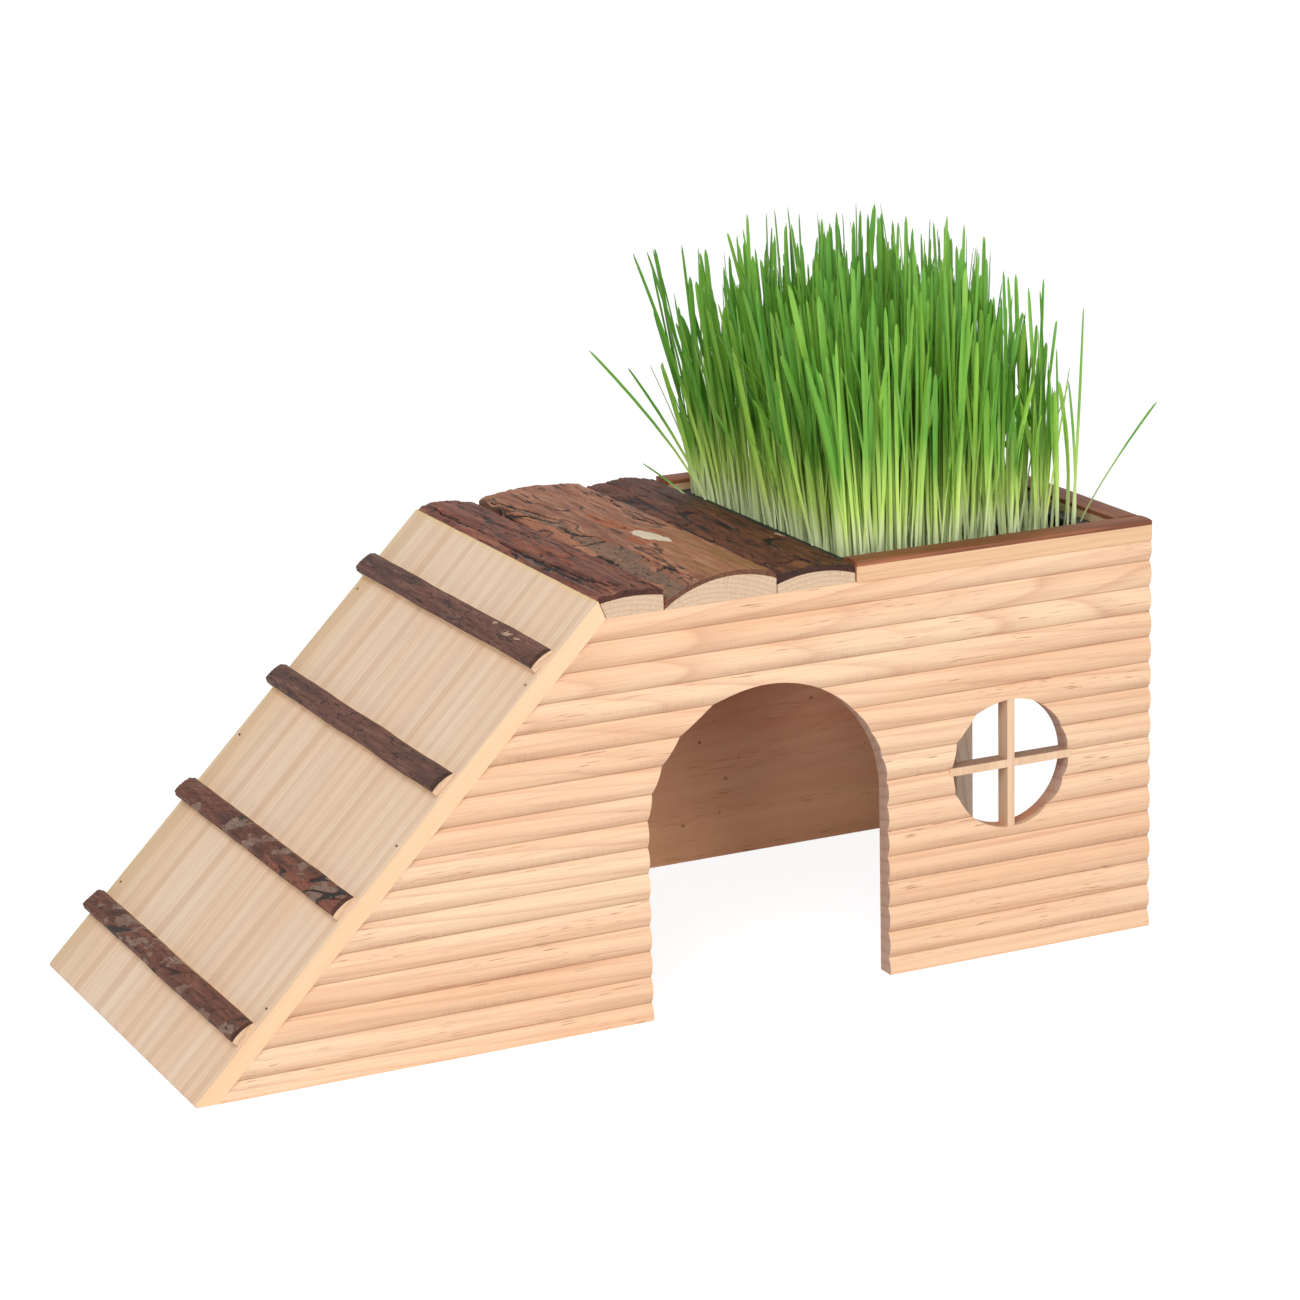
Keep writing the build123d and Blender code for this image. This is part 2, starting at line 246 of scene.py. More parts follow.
def rgb(code):
    """A colour written as six hexadecimal digits, as the renderer wants it: linear, with an alpha of 1."""
    levels = np.array([int(code[at:at + 2], 16) for at in (0, 2, 4)]) / 255
    linear = np.where(levels <= 0.04045, levels / 12.92, ((levels + 0.055) / 1.055) ** 2.4)
    return (*linear.tolist(), 1.0)


print("shader maths ready")

# %% [markdown]
# ## The camera
#
# The camera stands a few paces away with a long lens, so that the far end doesn't shrink. It is to the left of
# the front, a little above the roof, and looks down by fifteen degrees.

# %% Place the camera
heading, dip, roll = math.radians(25.265), math.radians(-15.145), math.radians(-1.495)
look = Vector((math.sin(heading) * math.cos(dip), math.cos(heading) * math.cos(dip), math.sin(dip)))
level = Vector((math.cos(heading), -math.sin(heading), 0))
over = level.cross(look)
right = math.cos(roll) * level + math.sin(roll) * over
up = math.cos(roll) * over - math.sin(roll) * level
lens = bpy.data.cameras.new("long_lens")
lens.lens, lens.sensor_width = 110.14, 36.0
camera = bpy.data.objects.new("view_camera", lens)
turned = Matrix((right, up, -look)).transposed().to_4x4()
camera.matrix_world = Matrix.Translation((-0.70220, -1.54647, 0.59732)) @ turned
bpy.context.scene.collection.objects.link(camera)
bpy.context.scene.camera = camera
print("camera looks along", [round(value, 3) for value in look])

# %% [markdown]
# ## Meshes from arrays
#
# Almost every piece here is a section carried along a path: a board, a batten, a strip of bark. The helper takes
# all the rings of points as one array, joins each to the next, closes the two ends and checks which way round
# the result faces by the sign of its volume.

# %% The helpers that make and dress a piece


def grid(x, y, z):
    """Places as an array (..., 3) from three arrays or numbers, each spread over the shape of the others."""
    return np.stack(np.broadcast_arrays(x, y, z), -1)


def mesh_object(name, points, faces):
    """A new mesh object in the scene, from an array of points and a list of faces."""
    mesh = bpy.data.meshes.new(name)
    mesh.from_pydata(points.tolist(), [], faces)
    mesh.update()
    piece = bpy.data.objects.new(name, mesh)
    bpy.context.scene.collection.objects.link(piece)
    return piece


def quads_round(index):
    """Faces between numbered points: the last axis of index goes round a ring, the one before it along."""
    after = np.roll(index, -1, axis=-1)
    corners = index[..., :-1, :], after[..., :-1, :], after[..., 1:, :], index[..., 1:, :]
    return np.stack(corners, -1).reshape(-1, 4)


def carried(name, rings):
    """A closed solid from rings of shape (count, around, 3).

    Point j of ring i is joined to point j of ring i + 1 and to point j + 1 of its own ring, wrapping round.
    Flat caps close the first and last rings. A negative volume means that it is inside out, so it is turned.
    """
    count, around = rings.shape[:2]
    index = np.arange(count * around).reshape(count, around)
    quads, points = quads_round(index), rings.reshape(-1, 3)
    first, second, third, fourth = (points[quads[:, corner]] for corner in range(4))
    swept = np.einsum("ij,ij->i", first, np.cross(second, third) + np.cross(third, fourth)).sum()
    caps = [index[0][::-1].tolist(), index[-1].tolist()]
    for cap in caps:
        corners = points[cap]
        swept += np.einsum("ij,ij->", np.broadcast_to(corners[0], corners[1:-1].shape),
                           np.cross(corners[1:-1], corners[2:]))
    faces = quads.tolist() + caps
    if swept < 0:
        faces = [face[::-1] for face in faces]
    return mesh_object(name, points, faces)


def finished(piece, material, node, body="house", crease=35):
    """Gives the piece its material and its body, and hides the solid node that it stands in for.

    Faces that meet at less than the crease angle are smoothed.
    """
    piece.data.materials.clear()
    piece.data.materials.append(material)
    piece.data.shade_smooth()
    piece.data.set_sharp_from_angle(angle=math.radians(crease))
    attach(piece, body)
    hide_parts(node)
    return piece


def keep_field(piece, field, values):
    """Keeps one number for each point of a piece on its mesh, for its finish to read."""
    attribute = piece.data.attributes.new(field, "FLOAT", "POINT")
    attribute.data.foreach_set("value", values.astype(np.float32).ravel())


def dress(material, *nodes):
    """Puts a material on solids that are shown as they are."""
    for node in nodes:
        frame["nodes"][node].data.materials[0] = material


def eased(outline, radius, steps=3):
    """A polygon with its corners rounded: each corner becomes a curve between the points a radius away.

    The curve of corner C between A and B is (1-t)^2 A + 2t(1-t) C + t^2 B, at steps + 1 values of t.
    """
    outline = np.asarray(outline, float)
    before, after = np.roll(outline, 1, axis=0), np.roll(outline, -1, axis=0)

    def stepped(towards):
        reach = np.linalg.norm(towards - outline, axis=1, keepdims=True)
        return outline + (towards - outline) / reach * np.minimum(radius, reach / 2.2)

    share = np.linspace(0, 1, steps + 1)[None, :, None]
    start, stop = stepped(before)[:, None], stepped(after)[:, None]
    return (1 - share) ** 2 * start + 2 * share * (1 - share) * outline[:, None] + share ** 2 * stop


def cut(piece, *cutters):
    """Takes the cutters out of the piece with exact Boolean modifiers, and deletes them."""
    for cutter in cutters:
        change = piece.modifiers.new("cut", "BOOLEAN")
        change.operation, change.solver, change.object = "DIFFERENCE", "EXACT", cutter
    shaped = piece.evaluated_get(bpy.context.evaluated_depsgraph_get())
    piece.data = bpy.data.meshes.new_from_object(shaped)
    piece.modifiers.clear()
    for cutter in cutters:
        bpy.data.objects.remove(cutter)


print("mesh helpers ready")

# %% [markdown]
# ## Smooth random fields
#
# Wood is never quite even. Everything irregular here, from the wander of a reed to the cracks of the bark, comes
# from one function: random heights on a lattice, blended smoothly between the lattice points. Added up at
# finer and finer spacings it gives the rough, self-similar relief that bark has.

# %% Random relief as whole arrays
LATTICE = 128                                  # steps after which the pattern comes again


def wander(u, v, seed):
    """Random heights from -1 to 1 at whole steps of u and v, joined by a curve that is flat at each of them."""
    lattice = np.random.default_rng(seed).uniform(-1, 1, (LATTICE, LATTICE))
    whole_u, whole_v = np.floor(u).astype(int), np.floor(v).astype(int)
    part_u, part_v = u - whole_u, v - whole_v
    blend_u, blend_v = (part ** 2 * (3 - 2 * part) for part in (part_u, part_v))

    def corner(du, dv):
        return lattice[(whole_u + du) % LATTICE, (whole_v + dv) % LATTICE]

    near = corner(0, 0) * (1 - blend_u) + corner(1, 0) * blend_u
    far = corner(0, 1) * (1 - blend_u) + corner(1, 1) * blend_u
    return near * (1 - blend_v) + far * blend_v


def rough(u, v, seed, octaves=4):
    """Several wanders, each twice as fine and half as high as the one before."""
    return sum(wander(u * 2 ** k, v * 2 ** k, seed + k) / 2 ** k for k in range(octaves))


def smooth(value, low, high):
    """0 below low, 1 above high, and an even rise between."""
    share = np.clip((value - low) / (high - low), 0, 1)
    return share * share * (3 - 2 * share)


sample = wander(np.arange(0, 9, 0.1), np.zeros(90), 1)
print(f"wander goes from {sample.min():.2f} to {sample.max():.2f} over nine steps")

# %% [markdown]
# ## Pine
#
# A board's figure is a slice through the growth rings of its tree. So the finish doesn't paint lines: it works
# out, for each point of the surface, how far it lies from the heart of the trunk, and lets the rings fall where
# they fall. A reed that is milled through them then shows the long loops that real milling shows. Slow noise
# bends the trunk, finer noise draws the fibres, and a rare dark dash marks a resin channel. Where a surface
# faces along the grain it is end grain, which has a tone and pores of its own.

# %% The pine finish


def pine(name, grain, across, heart, ring_gap, tones, figure=0.5, flecks=0.5, end=0.85, soft=False, extra=None):
    """Growth rings round a heart line that runs along the grain, or nearly so.

    heart is the line's place across the grain, its depth, and how far it sinks for each metre along the grain.
    tones are the pale early wood, its warmer patches, the late wood of a ring, the flecks and the end grain.
    soft makes the rings broad, with finer lines between. extra is a function that adds what only this board has.
    """
    finish = Finish(name, Roughness=0.62, Specular_IOR_Level=0.25)
    pale, warm, ring_tone, fleck_tone, end_tone = tones
    (length, width, height), noise = finish.grained(grain, across)
    bend = noise(3.2, 16) - 0.5
    ripple = noise(14, 110) - 0.5
    heart_width, heart_height, sinks = heart
    radius = ((width - heart_width) ** 2.0 + (height - length * sinks - heart_height) ** 2.0) ** 0.5
    turns = (radius + bend * 0.016 + ripple * 0.0016) / ring_gap
    rings = (turns + 0.15 * bend).fraction()
    if soft:
        broad = rings.curve((0, 0.25), (0.22, 0.0), (0.42, 0.15), (0.66, 0.85), (0.80, 1.0), (1, 0.25))
        thirds = (turns * 3.0).fraction()
        lines = thirds.curve((0, 0.1), (0.55, 0.0), (0.82, 0.8), (0.90, 1.0), (0.96, 0.2), (1, 0.1))
        late = broad * 0.75 + lines * 0.4
    else:
        late = rings.curve((0, 0.10), (0.45, 0.0), (0.80, 0.55), (0.90, 1.0), (0.97, 0.35), (1, 0.10))
    strength = finish.add("ShaderNodeTexWhiteNoise", {"W": turns.floor()}, noise_dimensions="1D")
    fibres = noise(22, 1300, detail=3.0, roughness=0.6)
    streaks = noise(5, 260, detail=3.0, roughness=0.55)
    dashes = noise(90, 2400, detail=0.0).between(0.72, 0.80)
    crowd = noise(9, 70, detail=1.0).between(0.47, 0.62)
    streaky, fibrous = (0.4, 0.32) if soft else (0.75, 0.24)
    colour = finish.layered(
        pale,
        (noise(4.5, 38).between(0.36, 0.66) * 0.85, warm),                # broad warmer patches
        (late * (strength * 0.65 + 0.35) * figure, ring_tone),            # late wood, some years stronger
        (streaks.between(0.52, 0.80) * (figure * streaky), ring_tone),    # streaks along the grain
        (fibres.between(0.45, 0.68) * fibrous, ring_tone),                # single fibres
        (dashes * crowd * flecks, fleck_tone))                            # resin channels, in crowds
    if extra:
        colour = extra(finish, finish.place(), colour)
    sawn = finish.layered(
        end_tone, (noise(60, 1100).between(0.35, 0.7) * 0.45, ring_tone), (late * 0.35, fleck_tone))
    colour = finish.mix(finish.end_on(grain).between(0.45, 0.85) * end, colour, sawn)
    bumps = fibres * 0.6 + late * 0.25 + streaks * 0.3
    return finish.show(colour, fibres * 0.16 + 0.52, bumps, depth=0.16 * MM)


def reeds(finish, place, colour):
    """What the milling shows on a wall, with painted shade: a painted grey shade low on each reed, chatter marks
    there, and a painted shadow line in each valley. The inner face has no reeds. Its colour is painted light by
    height: a pale painted bounce of light near the floor, a redder painted shade higher up, and real stains,
    dashes of late wood and a few pin knots.
    """
    x, y, z = (place.along(direction) for direction in (EAST, NORTH, SKY))
    outer = y.absolute().between(BACK - 3.4 * MM, BACK - 2.6 * MM)

    def drawn_out(along, upright, detail):
        return finish.noise(finish.vector(x * along, 0.0, z * upright), detail=detail)

    rise = ((z - LOWEST_VALLEY) / REED_PITCH).fraction()
    uneven = drawn_out(9, 60, 2.0)
    # painted shade: the lower part of each reed, which turns away from the light above, is greyed; the chatter
    # marks lie only there
    low = rise.between(0.44, 0.06) * uneven.between(0.25, 0.65)
    chatter = drawn_out(1150, 60, 0.0).between(0.45, 0.65) * low * uneven.between(0.46, 0.62)
    # painted shadow: a dark line along the bottom of each valley
    valley_shadow = (rise - 0.5).absolute().between(0.465, 0.5)
    reeded = finish.layered(
        colour, (low * 0.40, "AC8C78"), (chatter * 0.20, "8E7468"), (valley_shadow * 0.60, "8A5A42"))

    # painted light by height on the inner face: 0 by the floor and 1 higher up
    painted_shade_by_height = z.between(0.015, 0.105)
    stained = drawn_out(7, 90, 3.0).between(0.40, 0.62)
    dashes = drawn_out(70, 1800, 1.0).between(0.57, 0.66) * drawn_out(12, 120, 1.0).between(0.46, 0.58)
    knots = finish.noise(place, scale=300, detail=0.0).between(0.810, 0.840)
    inner = finish.layered(
        colour,
        # painted bounce light: paler near the floor
        (painted_shade_by_height.between(1.0, 0.0) * 0.90, "FFC69A"),
        # real stains, and a redder painted shade higher up, where the roof shades the inside
        (stained * 0.14 + painted_shade_by_height * 0.82, "BA6040"),
        (dashes * 0.4, "B05C3C"),
        (knots * 0.6, "5E2E20"))
    return finish.mix(outer, inner, reeded)


def sun_line(finish, place, colour):
    """The ramp's back edge and the edge by the roof have yellowed a little, and its sides are a warmer cut."""
    back = place.along(NORTH).between(BACK - 30 * MM, BACK)
    by_roof = place.along(SKY).between(WALL_TOP + 6.0 * MM, WALL_TOP + 7.4 * MM)
    side = finish.end_on(NORTH).between(0.5, 0.9)
    return finish.layered(colour, (back * 0.22, "E8D8A0"), (by_roof * 0.4, "F5D27C"), (side * 0.55, "F0BE8E"))


wall_tones = "F4D3B0", "ECBE98", "C88E70", "96502F", "CDB5A5"
left_heart, right_heart = 55 * MM, 12 * MM     # how far behind the face the heart lies at the two ends
tilt = (left_heart - right_heart) / (END - FOOT)
wall_heart = (0.155, -FRONT - left_heart - tilt * FOOT, tilt)
wall_pine = pine("wall_pine", EAST, SKY, wall_heart, 5.2 * MM, wall_tones, 0.46, 0.9, extra=reeds)
uphill = (math.cos(SLOPE), 0, math.sin(SLOPE))
ramp_tones = "FFE6CA", "FCD8B6", "DCB290", "A0714B", "E8BF96"
ramp_pine = pine("ramp_pine", uphill, NORTH, (0.162, 0.036, 0.0), 9.2 * MM, ramp_tones, 0.72, 0.25,
                 end=0.5, soft=True, extra=sun_line)
bar_tones = "ECCEAE", "E0B996", "C89474", "96553A", "A88B78"
bar_pine = pine("bar_pine", SKY, EAST, (0.12, 0.05, 0.0), 3.0 * MM, bar_tones, 0.35, 0.3)
end_tones = "FBE4C8", "F4D2AE", *wall_tones[2:4], "FFF0DC"
end_pine = pine("end_pine", NORTH, SKY, (-0.04, -0.16, 0.0), 5.0 * MM, end_tones, 0.38, 0.4, end=0.4)
print("pine finishes:", wall_pine.name, ramp_pine.name, bar_pine.name, end_pine.name)

# %% [markdown]
# ## The reeded walls
#
# The boards are milled with half-round reeds that meet in sharp valleys. A reed is an arc of a circle, so the
# whole section is one array of heights, carried along the board. The sharp edge of each valley stays sharp, and
# the arcs between are smooth. The doorways and the window are cut afterwards, as a carpenter would, so that
# their edges pick up the scallops of the reeds. The end wall is a plain board between the two.

# %% Build the walls


def reeded_board(name, start, stop, place_at):
    """A board whose section is drawn over its height and carried from start to stop.

    Each reed is y = R - sqrt(R^2 - z^2) from its own middle, for the R that gives the reed's depth at its edge.
    start may be an array over the height, for an end that is cut on a slant. The reeds wander by a tenth of a
    millimetre along their length.
    """
    arc_radius = (REED_PITCH ** 2 / 4 + REED_DEPTH ** 2) / (2 * REED_DEPTH)
    steps = 12
    heights = LOWEST_VALLEY + REED_PITCH * np.arange(-steps, 17 * steps + 1) / steps
    heights = np.unique(np.clip(heights, 0, WALL_TOP).round(7))
    from_middle = (heights - LOWEST_VALLEY) % REED_PITCH - REED_PITCH / 2
    outside = arc_radius - np.sqrt(arc_radius ** 2 - from_middle ** 2)
    inside_heights = np.linspace(WALL_TOP, 0, 9)
    ring_height = np.concatenate([heights, inside_heights])
    ring_out = np.concatenate([outside, np.full(inside_heights.shape, BOARD)])
    share = np.linspace(0, 1, 70)[:, None]
    begin = start(ring_height)[None, :]
    along = begin + share * (stop - begin)
    drift = 0.10 * MM * wander(along * 30, ring_height[None, :] * 90 + 0 * along, 7)
    out = np.where(ring_out < BOARD - 1e-6, np.maximum(ring_out + drift, 0), ring_out)
    return carried(name, grid(*place_at(along, out, ring_height[None, :])))


def doorway(name, middle, width, spring, through):
    """A cutter with straight sides and a half-round head. through maps (across, height, depth) to a place."""
    angle = np.linspace(0, math.pi, 61)
    half = width / 2
    across = np.concatenate([[half], half * np.cos(angle[1:-1]), [-half, -half, half]])
    height = np.concatenate([[spring], spring + half * np.sin(angle[1:-1]), [spring, -0.01, -0.01]])
    depths = np.array([-0.01, 0.02])[:, None]
    return carried(name, grid(*through(middle + across, height, depths)))


def slanted(height):
    """Where a wall's left edge is, under the ramp."""
    return FOOT + height


def through_front(across, height, depth):
    return across, FRONT + depth, height


def through_end(across, height, depth):
    return END - depth, across, height


door_middle, door_width, door_spring = FOOT + 254.75 * MM, 115.5 * MM, 83.5 * MM
end_door_width = 120 * MM
window_x, window_z, window_radius = END - 72 * MM, 88 * MM, 29.25 * MM

front_wall = reeded_board("front_wall_board", slanted, END, lambda x, out, z: (x, FRONT + out, z))
turn = np.linspace(0, 2 * math.pi, 96, endpoint=False)
window_rings = grid(window_x + window_radius * np.cos(turn), FRONT + np.array([-0.01, 0.02])[:, None],
                    window_z + window_radius * np.sin(turn))
cut(front_wall, doorway("door_cutter", door_middle, door_width, door_spring, through_front),
    carried("window_cutter", window_rings))
finished(front_wall, wall_pine, "front_wall")

back_wall = reeded_board("back_wall_board", slanted, END, lambda x, out, z: (x, BACK - out, z))
finished(back_wall, wall_pine, "back_wall")

end_half = BACK - BOARD - 0.05 * MM            # it fits between the two walls
end_corners = [(END - BOARD, 0), (END, 0), (END, WALL_TOP), (END - BOARD, WALL_TOP)]
end_x, end_z = eased(end_corners, 0.4 * MM, 2).reshape(-1, 2).T
end_wall = carried("end_wall_board", grid(end_x, np.linspace(-end_half, end_half, 30)[:, None], end_z))
cut(end_wall, doorway("end_door_cutter", 0.0, end_door_width, door_spring, through_end))
finished(end_wall, end_pine, "end_wall")
for board in (front_wall, back_wall, end_wall):
    print(board.name, len(board.data.polygons), "faces")

# %% [markdown]
# ## The ramp
#
# One plank, planed on both faces, with its sharp corners just taken off with sandpaper and its toe rounded. Its
# section is carried from front to back, and is drawn in a little at both ends. The easing is what catches a thin
# light along each edge.

# %% Build the ramp
mitre = SLOPE / 2
foot, top = (FOOT, 0), (FOOT + WALL_TOP, WALL_TOP)
crest = (FOOT + WALL_TOP - PLANK * math.tan(mitre), WALL_TOP + PLANK)
toe = (FOOT - PLANK / math.sin(SLOPE), 0)
ramp_corners = [foot, top, crest, toe]
section = np.concatenate([*eased(ramp_corners, 0.5 * MM)[:3], eased(ramp_corners, 3.6 * MM, 6)[3]])
depths = np.concatenate([[FRONT], np.linspace(FRONT + 0.5 * MM, BACK - 0.5 * MM, 40), [BACK]])
inset = np.where((depths == FRONT) | (depths == BACK), 0.35 * MM, 0.0)[:, None, None]
inward = section.mean(0) - section
pulled = section + inward / np.linalg.norm(inward, axis=1)[:, None] * inset
ramp_rings = grid(pulled[..., 0], depths[:, None], pulled[..., 1])
finished(carried("ramp_plank", ramp_rings), ramp_pine, "ramp_board", crease=50)
print("ramp section has", len(section), "points")

# %% [markdown]
# ## Bark
#
# Pine bark is built up in thin layers that crack along the branch and flake at their edges. The relief has to be
# real, because it breaks the outline, so it is worked out as arrays of heights. A long crack is drawn where slow
# noise passes through zero, which gives a thin line that wanders and branches, as no pattern of closed cells
# would. Flakes are finer noise cut into terraces. The same arrays are kept on the mesh, so that the finish can
# darken a crack where a crack is.

# %% Relief of bark


def near_path(across, along, path):
    """How far each place is from a line through the given points, and how far along the line that is, 0 to 1."""
    path = np.asarray(path, float)
    gap, share = np.full(across.shape, 99.0), np.zeros(across.shape)
    for number, (start, stop) in enumerate(zip(path[:-1], path[1:])):
        step = stop - start
        part = np.clip(((across - start[0]) * step[0] + (along - start[1]) * step[1]) / (step @ step), 0, 1)
        here = np.hypot(across - start[0] - part * step[0], along - start[1] - part * step[1])
        share = np.where(here < gap, (number + part) / (len(path) - 1), share)
        gap = np.minimum(here, gap)
    return gap, share


def bark_relief(across, along, seed, crack_size=(16.0, 110.0), flake_size=(5.0, 30.0), slant=0.0, paths=()):
    """Height, crack and flake edge, below 0 on its lip, for places in millimetres across and along the grain.

    The places are first pushed about by slow noise. A crack lies where |noise| is near 0, in some places only,
    and along each of the paths, given as (width, points). Terraces of a finer noise make the flakes: the height
    climbs only in the last fifth of each level. The flake edge field is painted shadow at the foot of that step,
    and below 0 it is a painted highlight on the flake's lip.
    """
    skewed = across + slant * along
    aside = skewed + 1.6 * rough(skewed / 9, along / 40, seed, 3)
    onward = along + 7 * rough(skewed / 12, along / 60, seed + 11, 2)
    line = np.abs(rough(aside / crack_size[0], onward / crack_size[1], seed + 23, 2))
    somewhere = smooth(rough(skewed / 12, along / 50, seed + 31, 2), -0.15, 0.45)
    crack = (1 - smooth(line, 0.0, 1.3 / crack_size[0])) * somewhere
    for width, points in paths:
        gap, share = near_path(across + 0.6 * rough(across / 2, along / 5, seed + 37, 3), along, points)
        reach = width * np.sqrt(np.clip(np.sin(math.pi * share), 0.03, 1)) / 2
        crack = np.maximum(crack, 1 - smooth(gap / reach, 0.4, 1.15))
    levels = (rough(aside / flake_size[0], onward / flake_size[1], seed + 41, 4) + 1.9) * 1.1
    part = levels % 1
    terrace = (np.floor(levels) + smooth(part, 0.80, 0.98)) / 4.6
    # painted highlight: the lip at the top of each flake's step
    lip = np.maximum(smooth(part, 0.93, 1.0), 1 - smooth(part, 0.0, 0.14)) * smooth(levels, 1.0, 1.3)
    # the flake edge: painted shadow at the foot of each step, minus the painted highlight on its lip
    edge = smooth(part, 0.74, 0.83) * (1 - smooth(part, 0.88, 0.96)) - lip
    swell = rough(across / 18, along / 70, seed + 53, 2)
    fibre = rough(aside / 1.2, onward / 20, seed + 61, 3)
    height = 0.45 + 0.17 * swell + 0.75 * (terrace - 0.5) + 0.08 * fibre - 0.62 * crack
    return np.clip(height, 0, 1), crack, edge


def blob(across, along, centre, size, tilt, seed, ragged=0.3):
    """1 inside a ragged ellipse, 0 outside it. size is half its width and half its length."""
    dx, dy = across - centre[0], along - centre[1]
    u = (dx * math.cos(tilt) + dy * math.sin(tilt)) / size[0]
    v = (dy * math.cos(tilt) - dx * math.sin(tilt)) / size[1]
    ripple = ragged * rough(across * 1.6 / size[0], along * 2.5 / size[1], seed, 4)
    return 1 - smooth(np.hypot(u, v) + ripple, 0.72, 1.08)


def bark_strip(name, across, along, under, over, place_at, fields):
    """A closed strip of bark: its top from a grid, its underside from a line across, and its two ends.

    across has the places over the width and along those over the length. under and over give heights for each
    (along, across). place_at turns (across, along, height) into a place. fields is a dict of arrays over the
    top, which the underside takes from the top's edges.
    """
    top_across = np.broadcast_to(across[None, :], over.shape)
    low_across = np.linspace(across[-1], across[0], 12)
    low_height = np.stack([np.interp(low_across, across, row) for row in under])
    ring_across = np.concatenate([top_across, np.broadcast_to(low_across, low_height.shape)], 1)
    ring_height = np.concatenate([over, low_height], 1)
    ring_along = np.broadcast_to(along[:, None], ring_across.shape)
    strip = carried(name, grid(*place_at(ring_across, ring_along, ring_height)))
    for field, values in fields.items():
        lower = np.stack([np.interp(low_across, across, row) for row in values])
        keep_field(strip, field, np.concatenate([values, lower], 1))
    return strip


print("bark relief ready")

# %% [markdown]
# ## The colours of bark
#
# A crack is almost black. The plates between are red brown with finer streaks along the grain, a weathered grey
# where old layers hang on, and orange where the outer bark has come away. The finish mixes these by the fields
# that the mesh carries, and adds fibre and grain that are too fine to model. The sawn end of the bark shows its
# dark layers.

# %% The bark finish


def bark(name, tones, contrast=1.0):
    """tones are the crack, the dark, middle and pale plates, weathered grey, worn bark, rust and bare wood."""
    finish = Finish(name, Roughness=0.6, Specular_IOR_Level=0.35)
    deep, dark, middle, pale, grey, worn, orange, cream = tones
    crack, edge, weathered, bare, rust, wood = (
        finish.attribute(field) for field in ("crack", "edge", "weathered", "bare", "rust", "wood"))
    noise = finish.grained(NORTH)[1]
    blotch = noise(14, 75, detail=3.0, roughness=0.6)
    streak = noise(38, 400, detail=4.0, roughness=0.55, distortion=0.4)
    fine = noise(170, 1300, detail=3.0, roughness=0.65)
    grit = noise(700, 1100, detail=1.0)
    smooth_bark = finish.mix(blotch.between(0.3, 0.7), worn, middle)
    bare_wood = finish.mix(fine.between(0.4, 0.7) * 0.20, cream, pale)
    sawn = finish.mix(grit.between(0.30, 0.75) * 0.6 + 0.1, deep, dark)
    colour = finish.layered(
        dark,
        (blotch.between(0.38, 0.60), middle),                                  # plates, dark to middle
        (bare.between(0.15, 0.75) * 0.8, smooth_bark),                         # the outer bark is gone
        ((rust * (streak + 0.55)).between(0.2, 1.0) * 0.85, orange),           # fresh breaks
        (streak.between(0.50, 0.28) * (0.60 * contrast), pale),                # light streaks
        # painted highlight on the lips of flakes
        (edge.between(-0.1, -0.9) * streak.between(0.7, 0.3) * 0.6, pale),     # light lips of flakes
        (streak.between(0.53, 0.75) * (0.58 * contrast), deep),                # dark streaks
        ((weathered * (streak * 1.1 + blotch * 0.8 - 0.12)).between(0.30, 0.95) * 0.85, grey),
        (fine.between(0.50, 0.78) * (0.48 * contrast), deep),                  # dark fibre
        (grit.between(0.70, 0.78) * 0.35, grey),                               # dust
        # painted shadow at the foot of a flake's step
        ((edge * (streak * 0.8 + 0.45)).between(0.15, 0.80) * 0.78, deep),     # the foot of a flake's step
        ((crack + fine * 0.35 - 0.18).between(0.15, 0.58) * 0.95, deep),       # cracks
        (wood.between(0.35, 0.62), bare_wood),                                 # cut through to the wood
        (finish.end_on(NORTH).between(0.70, 0.90) * 0.85, sawn))               # the sawn ends
    return finish.show(colour, fine * 0.3 + 0.42, fine * 0.5 + streak * 0.8 + blotch * 0.3, depth=1.2 * MM)


left_tones = "150B09", "6C3828", "8E4E3A", "B8795C", "7C675C", "8A5A44", "A45430", "E2C3A0"
middle_tones = "190E0A", "965C44", "BE7C5A", "E0AC8A", "806A58", "AA7848", "BA5C2A", "FFEACF"
right_tones = "120A08", "4E281A", "723C28", "985C42", "665042", "9A6238", "A85C34", "E2C3A0"
left_bark = bark("left_bark", left_tones, contrast=1.2)
middle_bark = bark("middle_bark", middle_tones, contrast=0.78)
right_bark = bark("right_bark", right_tones, contrast=1.05)
print("bark finishes:", left_bark.name, middle_bark.name, right_bark.name)

# %% [markdown]
# ## The roof slabs' bark
#
# Each slab is the outside of a small log. Its bark follows the round of the log and is two to four millimetres
# thick. The first slab's is cracked and flaky. The middle one is smooth and red at the back, carries a weathered
# band beside the groove, and has lost its outer bark towards the front, round a knot cut through to cream wood.
# The last one is dark and fibrous. Where a particular crack matters, its line is given as a path. One more
# path is a painted shadow: a broad dark line along the first slab's left edge above the ramp, where the side of
# its bark is in shade. It is listed with the cracks.

# %% Bark on the three slabs


def through_three(values, share):
    """A smooth curve through three values at the start, middle and end of a span."""
    left, crown, right_value = values
    return (left * (1 - share) * (1 - 2 * share) + crown * 4 * share * (1 - share)
            + right_value * share * (2 * share - 1))


MARKS = "weathered", "bare", "rust", "wood"


def marked(marks, across, along):
    """The fields that marks gives for these places, with 0 for those of MARKS that it leaves out."""
    return {**{field: np.zeros_like(across) for field in MARKS}, **marks(across, along)}


